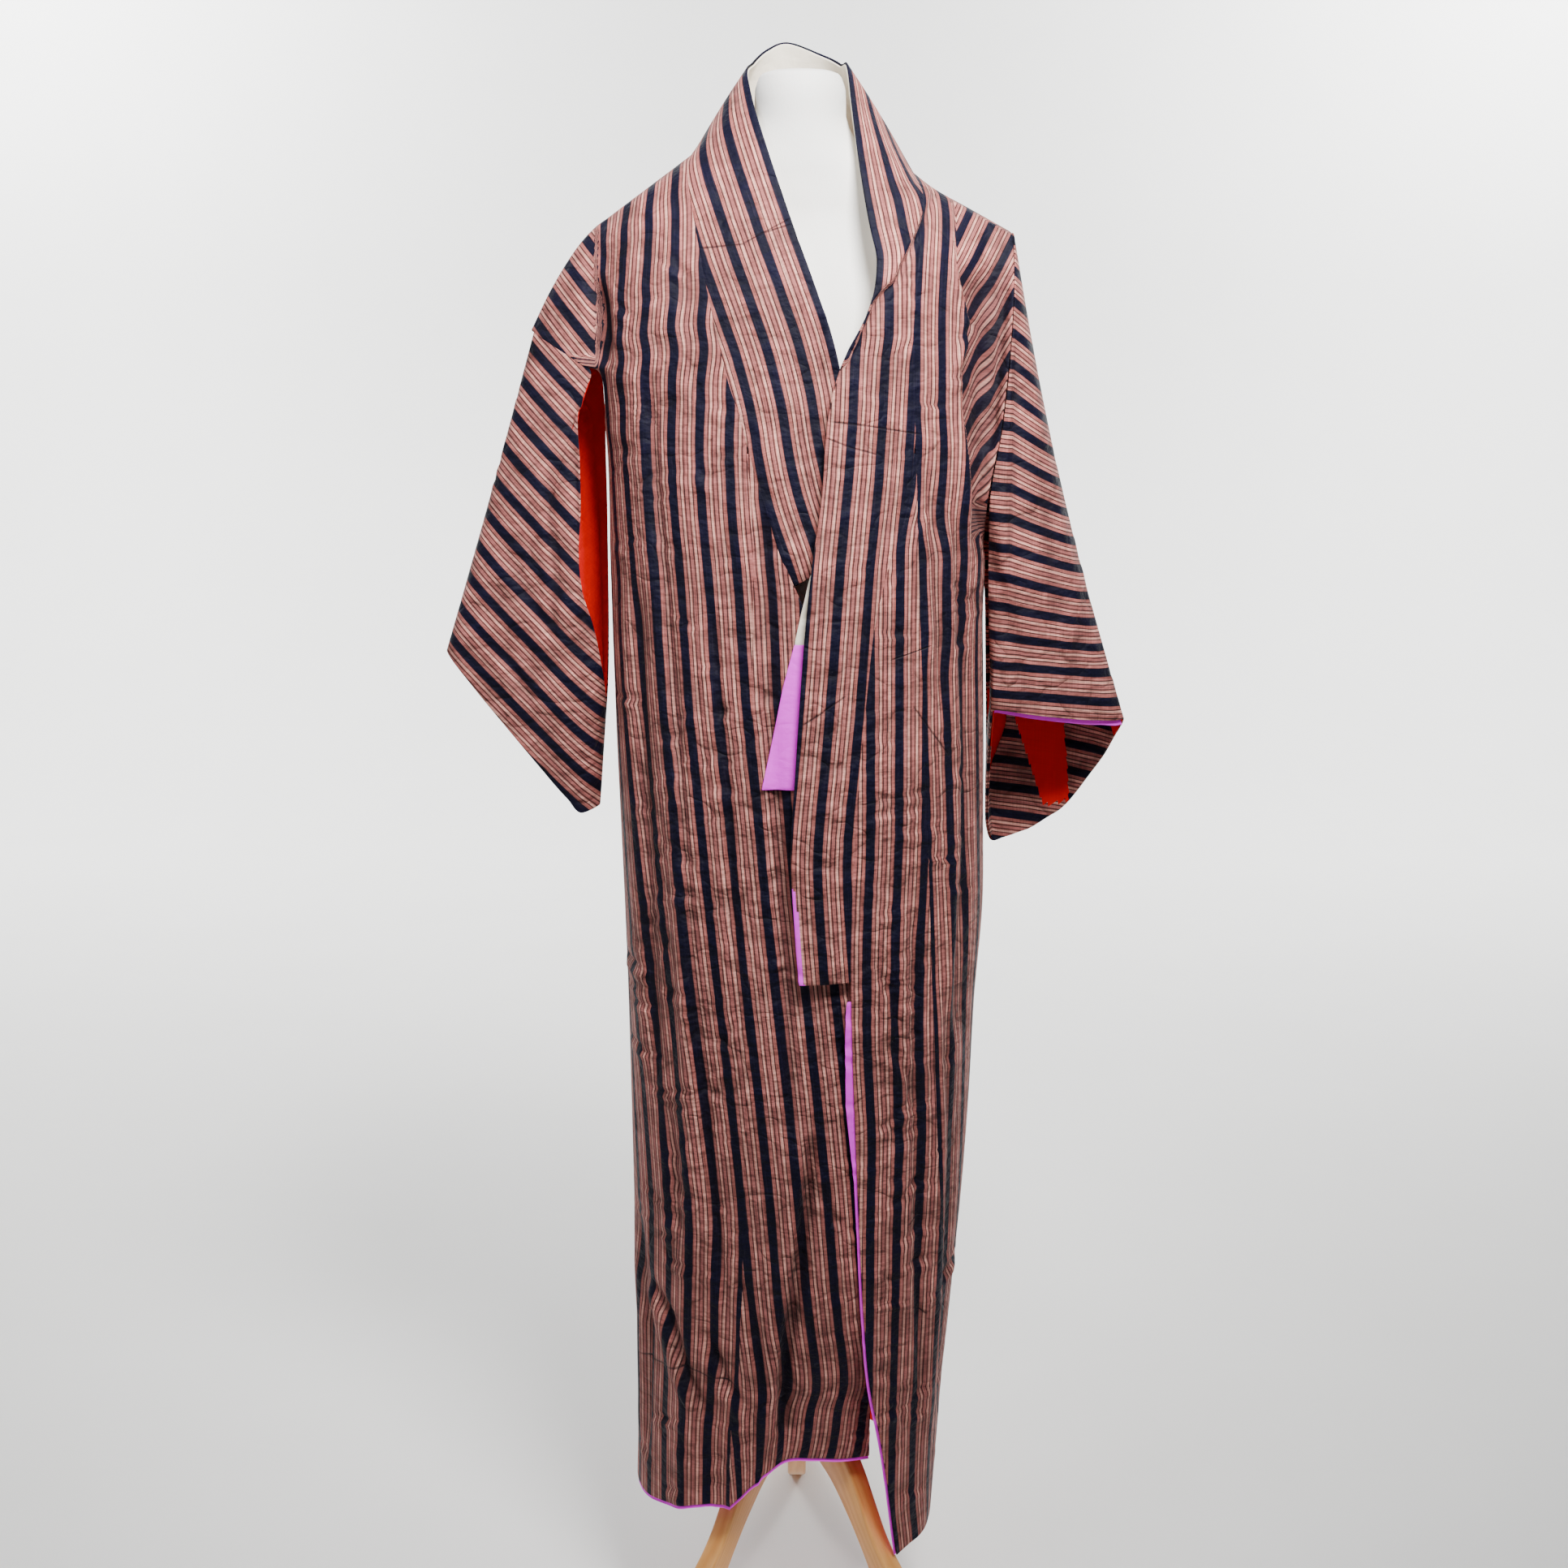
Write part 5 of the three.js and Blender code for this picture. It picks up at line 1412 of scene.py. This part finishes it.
corner = coarse["sleeve_left"][-1, 11]
end = int(np.argmin(np.linalg.norm(fine["sleeve_left"][-1] - corner, axis=1))) + 1
parts = [a["sleeve_left"][-7:, :end] for a in (fine, ways, flat)]
cuff = parts[0][-1]
past = unit(cuff - parts[0][-2])
piece = make_shell("cuff_facing_left_silk",
                   *grown(parts, [cuff + past * (FUKI + 2) * t for t in STEPS], 0, -1), LINING,
                   VIOLET, inset=CLOTH + LINING + 2 * SEAM)
dress(piece, "cuff_facing_left", 0.0043)


# %% [markdown]
# The lower end of the under collar is folded out and shows its lining: cream above, violet
# below. It lies flat on the right overlap panel, just clear of it.

# %% Turned-out collar end
TURNED = [[981, -36, 22], [1020, -28, 24], [1080, -16, 25], [1122, -5, 26], [1150, 1, 27],
          [1184, 9, 28], [1194, 11.5, 28]]


def turned(name, node, low, high, count, material, area):
    heights = np.linspace(low, high, count)
    rows = np.array([[front(mix(at(TURNED, h, 1), at(TURNED, h, 2), i / 15), h, 2.5)
                      for i in range(16)] for h in heights])
    lift = relief(rows, True)
    rows = rows + outward(rows) * (np.maximum(lift, lift * 0.55) + 0.3)[..., None]
    uv = np.stack([rows[..., 0], rows[..., 2]], -1) * MM
    piece = make_shell(name, rows, outward(rows), uv, 1.6, material)
    dress(piece, node, area)


turned("collar_end_white_silk", "collar_end_white", 1122.3, 1189, 24, CREAMY,
       0.0016)
turned("collar_end_violet_silk", "collar_end_violet", 981, 1122, 50, VIOLET,
       0.0068)

# %% [markdown]
# Behind the neck the collar stands away from the form and its cream lining shows.

# %% Collar lining
grid = fine["collar"]
keep = np.where(grid[:, -1, 2] > 1560)[0]
a, b = int(keep[0]), int(keep[-1]) + 1
piece = make_shell("collar_lining_silk", grid[a:b], ways["collar"][a:b], flat["collar"][a:b],
                   LINING, CREAMY, inset=CLOTH + 0.4 + SEAM)
dress(piece, "collar_lining", 0.030)


# %% [markdown]
# ## Dress form and stand
# The form is a smooth hard body under tight white jersey. It has no arms, and its neck ends in
# a flat cap. Under it stand a steel pole, a turned wooden hub and three bent plank legs.

# %% Materials of the form and the stand
def form_cover():
    m, tree, shader = new_material("white_jersey")
    place = tree.nodes.new("ShaderNodeTexCoord").outputs["Object"]
    knit = streaks(tree, place, (900.0, 900.0, 260.0), 2.0, 0.5)
    stain = noise(tree, place, 9.0, 4.0, 0.6)
    share = scaled(tree, stain, 0.9, -0.2, clamp=True)
    wire(tree, blend_colour(tree, share, linear((246, 245, 242)), linear((232, 229, 223))),
         shader.inputs["Base Color"])
    wire(tree, bump(tree, times(tree, knit, 0.00022), 1.0, 1.0), shader.inputs["Normal"])
    wire(tree, scaled(tree, knit, 0.2, 0.6), shader.inputs["Roughness"])
    shader.inputs["Sheen Weight"].default_value = 0.2
    return m


def beech_wood():
    m, tree, shader = new_material("orange_beech")
    place = tree.nodes.new("ShaderNodeUVMap")
    place.uv_map = "flat"
    grain = streaks(tree, place.outputs[0], (9.0, 150.0, 1.0), 5.0, 0.6)
    pores = streaks(tree, place.outputs[0], (70.0, 1500.0, 1.0), 3.0, 0.6)
    rings = tree.nodes.new("ShaderNodeTexWave")
    rings.bands_direction = "Y"
    rings.inputs["Scale"].default_value = 26.0
    rings.inputs["Distortion"].default_value = 7.0
    rings.inputs["Detail"].default_value = 3.0
    rings.inputs["Detail Scale"].default_value = 1.3
    wire(tree, stretched(tree, place.outputs[0], (0.35, 1.0, 1.0)), rings.inputs["Vector"])
    share = scaled(tree, rings.outputs["Fac"], 0.35, times(tree, grain, 0.65), clamp=True)
    colour = blend_colour(tree, share, linear((216, 142, 66)), linear((244, 184, 108)))
    dark = scaled(tree, pores, -5.0, 2.2, clamp=True)
    colour = blend_colour(tree, times(tree, dark, 0.35), colour, linear((170, 98, 40)))
    wire(tree, colour, shader.inputs["Base Color"])
    wire(tree, scaled(tree, pores, 0.14, 0.3), shader.inputs["Roughness"])
    wire(tree, bump(tree, times(tree, pores, 0.00012), 1.0, 1.0), shader.inputs["Normal"])
    shader.inputs["Coat Weight"].default_value = 0.35
    shader.inputs["Coat Roughness"].default_value = 0.18
    return m


def brushed_steel():
    m, tree, shader = new_material("brushed_steel")
    place = tree.nodes.new("ShaderNodeTexCoord").outputs["Object"]
    lines = streaks(tree, place, (8.0, 8.0, 1800.0), 3.0, 0.6)
    shader.inputs["Metallic"].default_value = 1.0
    wire(tree, blend_colour(tree, lines, linear((186, 187, 190)), linear((222, 222, 224))),
         shader.inputs["Base Color"])
    wire(tree, scaled(tree, lines, 0.2, 0.22), shader.inputs["Roughness"])
    wire(tree, bump(tree, times(tree, lines, 0.00004), 1.0, 1.0), shader.inputs["Normal"])
    return m


JERSEY, BEECH, STEEL = form_cover(), beech_wood(), brushed_steel()


# %% A body made of rings
def ring_body(name, rings, material, node):
    """Rings of the same number of points, closed with fans at both ends."""
    nj, ni = rings.shape[:2]
    verts = np.concatenate([rings.reshape(-1, 3), rings[:1].mean(1), rings[-1:].mean(1)])
    gaps = np.linalg.norm(np.roll(rings, -1, 1) - rings, axis=2).mean(0)
    round_way = running(gaps)[:ni]
    steps = np.linalg.norm(np.diff(rings, axis=0), axis=2).mean(1)
    long_way = running(steps)
    uv = np.stack(np.broadcast_arrays(long_way[:, None], round_way[None, :]), -1)
    uv = uv.reshape(-1, 2) * MM
    uv = np.concatenate([uv, uv[:1], uv[-1:]])
    j, i = np.meshgrid(np.arange(nj - 1), np.arange(ni), indexing="ij")
    a, b = j * ni + i, j * ni + (i + 1) % ni
    quads = np.stack([a, b, b + ni, a + ni], -1).reshape(-1, 4).tolist()
    low, high = nj * ni, nj * ni + 1
    fans = [[low, (k + 1) % ni, k] for k in range(ni)]
    fans += [[high, (nj - 1) * ni + k, (nj - 1) * ni + (k + 1) % ni] for k in range(ni)]
    faces = quads + fans
    piece = build_mesh(name, verts, faces, uv, np.zeros(len(faces), int), [material])
    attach(piece, "root")
    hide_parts(node)


def round_about(sides):
    return np.arange(sides) / sides * 2 * math.pi


# %% The dress form
FORM = [[720, 150, 106, 92], [724, 158, 112, 98], [800, 170, 122, 108], [860, 172, 122, 110],
        [940, 164, 116, 104], [1040, 150, 106, 90], [1120, 142, 100, 82], [1200, 148, 102, 84],
        [1280, 162, 108, 92], [1358, 168, 104, 92], [1428, 176, 88, 86], [1478, 182, 68, 70],
        [1502, 180, 58, 60], [1520, 164, 52, 54], [1538, 138, 50, 54], [1556, 108, 48, 54],
        [1572, 80, 47, 52], [1588, 59, 45, 49], [1608, 46, 43, 45], [1645, 42, 41, 41],
        [1653, 38, 37, 37], [1656, 31, 30, 30]]
profile = np.array(FORM, float)
knots = running(np.hypot(*np.diff(profile[:, :2], axis=0).T))
keys = [spread(knots[-1], 90), spread(knots[1], 4), knots[-3] + spread(12, 7)]
keys = np.unique(np.concatenate(keys))  # closer together at the rims below and above
profile = through(knots, profile, keys[keys <= knots[-1]])
FORM_SIDES = 110
turn = round_about(FORM_SIDES)
deep = np.where(np.sin(turn)[None] < 0, profile[:, 2:3], profile[:, 3:4])
rings = np.stack([profile[:, 1:2] * np.cos(turn), deep * np.sin(turn),
                  np.broadcast_to(profile[:, :1], (len(profile), FORM_SIDES))], -1)
ring_body("form_torso_cover", rings, JERSEY, "form_torso")
print("form rings:", rings.shape)


# %% [markdown]
# The pole and the hub are turned, so each is a profile that goes round its middle. Every
# edge gets a small round, because a sharp one never catches light.

# %% Pole and hub
def turned_body(name, profile, sides, material, node):
    profile = np.array(profile, float)
    t = round_about(sides)
    rings = np.stack([profile[:, :1] * np.cos(t), profile[:, :1] * np.sin(t),
                      np.broadcast_to(profile[:, 1:], (len(profile), sides))], -1)
    ring_body(name, rings, material, node)


turned_body("form_pole_tube", [[14, 262.3], [15.6, 262.6], [16, 263.5], [16, 300], [16, 480],
                               [16, 716], [16, 718.6], [15.6, 719.4], [14, 719.7]],
            64, STEEL, "form_pole")
turned_body("stand_hub_block", [[33, 196], [36.2, 196.6], [37.6, 198.4], [38, 201], [38, 229],
                                [38, 256], [37.4, 259.4], [35.6, 261.4], [32, 262], [18, 262]],
            72, BEECH, "stand_hub")


# %% Legs: planks sawn to a bent outline, with the long edges rounded over
LEG_TOP = [[38.3, 256], [66, 238], [92, 206], [112, 170], [130, 138], [150, 113], [175, 93],
           [205, 73], [240, 51], [270, 32], [290, 18], [294, 0]]
LEG_UNDER = [[38.3, 200], [64, 180], [88, 152], [112, 118], [135, 82], [160, 54], [190, 34],
             [222, 16], [250, 0]]


def curve(points, count):
    points = np.array(points, float)
    knots = running(np.linalg.norm(np.diff(points, axis=0), axis=1))
    return through(knots, points, spread(knots[-1], count))


upper, under = curve(LEG_TOP, 70), curve(LEG_UNDER, 70)
upper[:, 1], under[:, 1] = np.maximum(upper[:, 1], 0), np.maximum(under[:, 1], 0)
ROUND, HALF = 3.2, 11.0
for name, turn in (("leg_left", 227), ("leg_right", 313), ("leg_rear", 90)):
    rings = []
    for top, low in zip(upper, under):
        down, loop = unit(low - top), []
        for corner, sx, sz in ((top, 1, 1), (top, -1, 1), (low, -1, -1), (low, 1, -1)):
            for k in range(5):
                a = math.pi / 2 * (k / 4 if sx * sz > 0 else 1 - k / 4)
                side = sx * (HALF - ROUND + ROUND * math.cos(a))
                inset = corner + down * sz * ROUND * (1 - math.sin(a))
                loop.append([inset[0], side, inset[1]])
        rings.append(loop)
    rings = np.array(rings)
    c, s = math.cos(math.radians(turn)), math.sin(math.radians(turn))
    rings = np.stack([rings[..., 0] * c - rings[..., 1] * s, rings[..., 0] * s + rings[..., 1] * c,
                      rings[..., 2]], -1)
    ring_body(name + "_plank", rings, BEECH, name)
print("stand done")


# %% [markdown]
# ## Floor and light
# The floor is one pale sheet that sweeps up into a wall far behind, as in a studio. The main
# lamp hangs high in front on the right and its beam is narrow, so that the light slides down
# the folds and the skirt lies darker than the shoulders. A weak lamp on the left softens the
# shadows, and two more brighten the wall.

# %% Floor that sweeps up behind
REACH, BEND_FROM, BEND, WALL_TOP = 40.0, 3.2, 1.6, 7.0  # metres
turns = [math.pi / 2 * k / 12 for k in range(13)]
bend = [(BEND_FROM + BEND * math.sin(t), BEND * (1 - math.cos(t))) for t in turns]
path = [(-REACH, 0.0)] + bend + [(BEND_FROM + BEND, WALL_TOP)]
corners = [(x, y, z) for y, z in path for x in (-REACH, REACH)]
strips = [(2 * k, 2 * k + 1, 2 * k + 3, 2 * k + 2) for k in range(len(path) - 1)]
floor_mesh = bpy.data.meshes.new("floor")
floor_mesh.from_pydata(corners, [], strips)
floor_mesh.polygons.foreach_set("use_smooth", np.ones(len(path) - 1, bool))
floor = bpy.data.objects.new("floor", floor_mesh)
bpy.context.scene.collection.objects.link(floor)
m, tree, shader = new_material("pale_floor")
place = tree.nodes.new("ShaderNodeTexCoord").outputs["Object"]
share = noise(tree, place, 3.0, 4.0, 0.55)
wire(tree, blend_colour(tree, share, linear((236, 236, 234)), linear((243, 243, 242))),
     shader.inputs["Base Color"])
shader.inputs["Roughness"].default_value = 0.7
floor_mesh.materials.append(m)


# %% Lamps and sky
def lamp(name, place, aim, size, watts, colour=(1, 1, 1), beam=180):
    data = bpy.data.lights.new(name, "AREA")
    data.shape, data.size, data.size_y = "RECTANGLE", size[0], size[1]
    data.energy, data.color, data.spread = watts, colour, math.radians(beam)
    piece = bpy.data.objects.new(name, data)
    piece.location = place
    way = Vector(aim) - Vector(place)
    piece.rotation_euler = way.to_track_quat("-Z", "Y").to_euler()
    bpy.context.scene.collection.objects.link(piece)


lamp("broad_lamp", (0.42, -1.15, 2.6), (-0.02, -0.05, 1.52), (0.6, 0.6), 19,
     (1.0, 0.985, 0.97), 72)
lamp("weak_lamp", (-1.6, -1.5, 2.4), (0, 0, 1.4), (0.9, 0.9), 5, (0.96, 0.97, 1.0), 80)
lamp("wall_lamp_left", (-2.8, 3.1, 3.2), (-1.4, 4.8, 1.4), (1.6, 1.2), 300)
lamp("wall_lamp_right", (2.8, 3.1, 3.2), (1.4, 4.8, 1.4), (1.6, 1.2), 300)
world = bpy.data.worlds.new("room")
world.use_nodes = True
world.node_tree.nodes["Background"].inputs[0].default_value = (0.97, 0.98, 1.0, 1)
world.node_tree.nodes["Background"].inputs[1].default_value = 0.2
bpy.context.scene.world = world
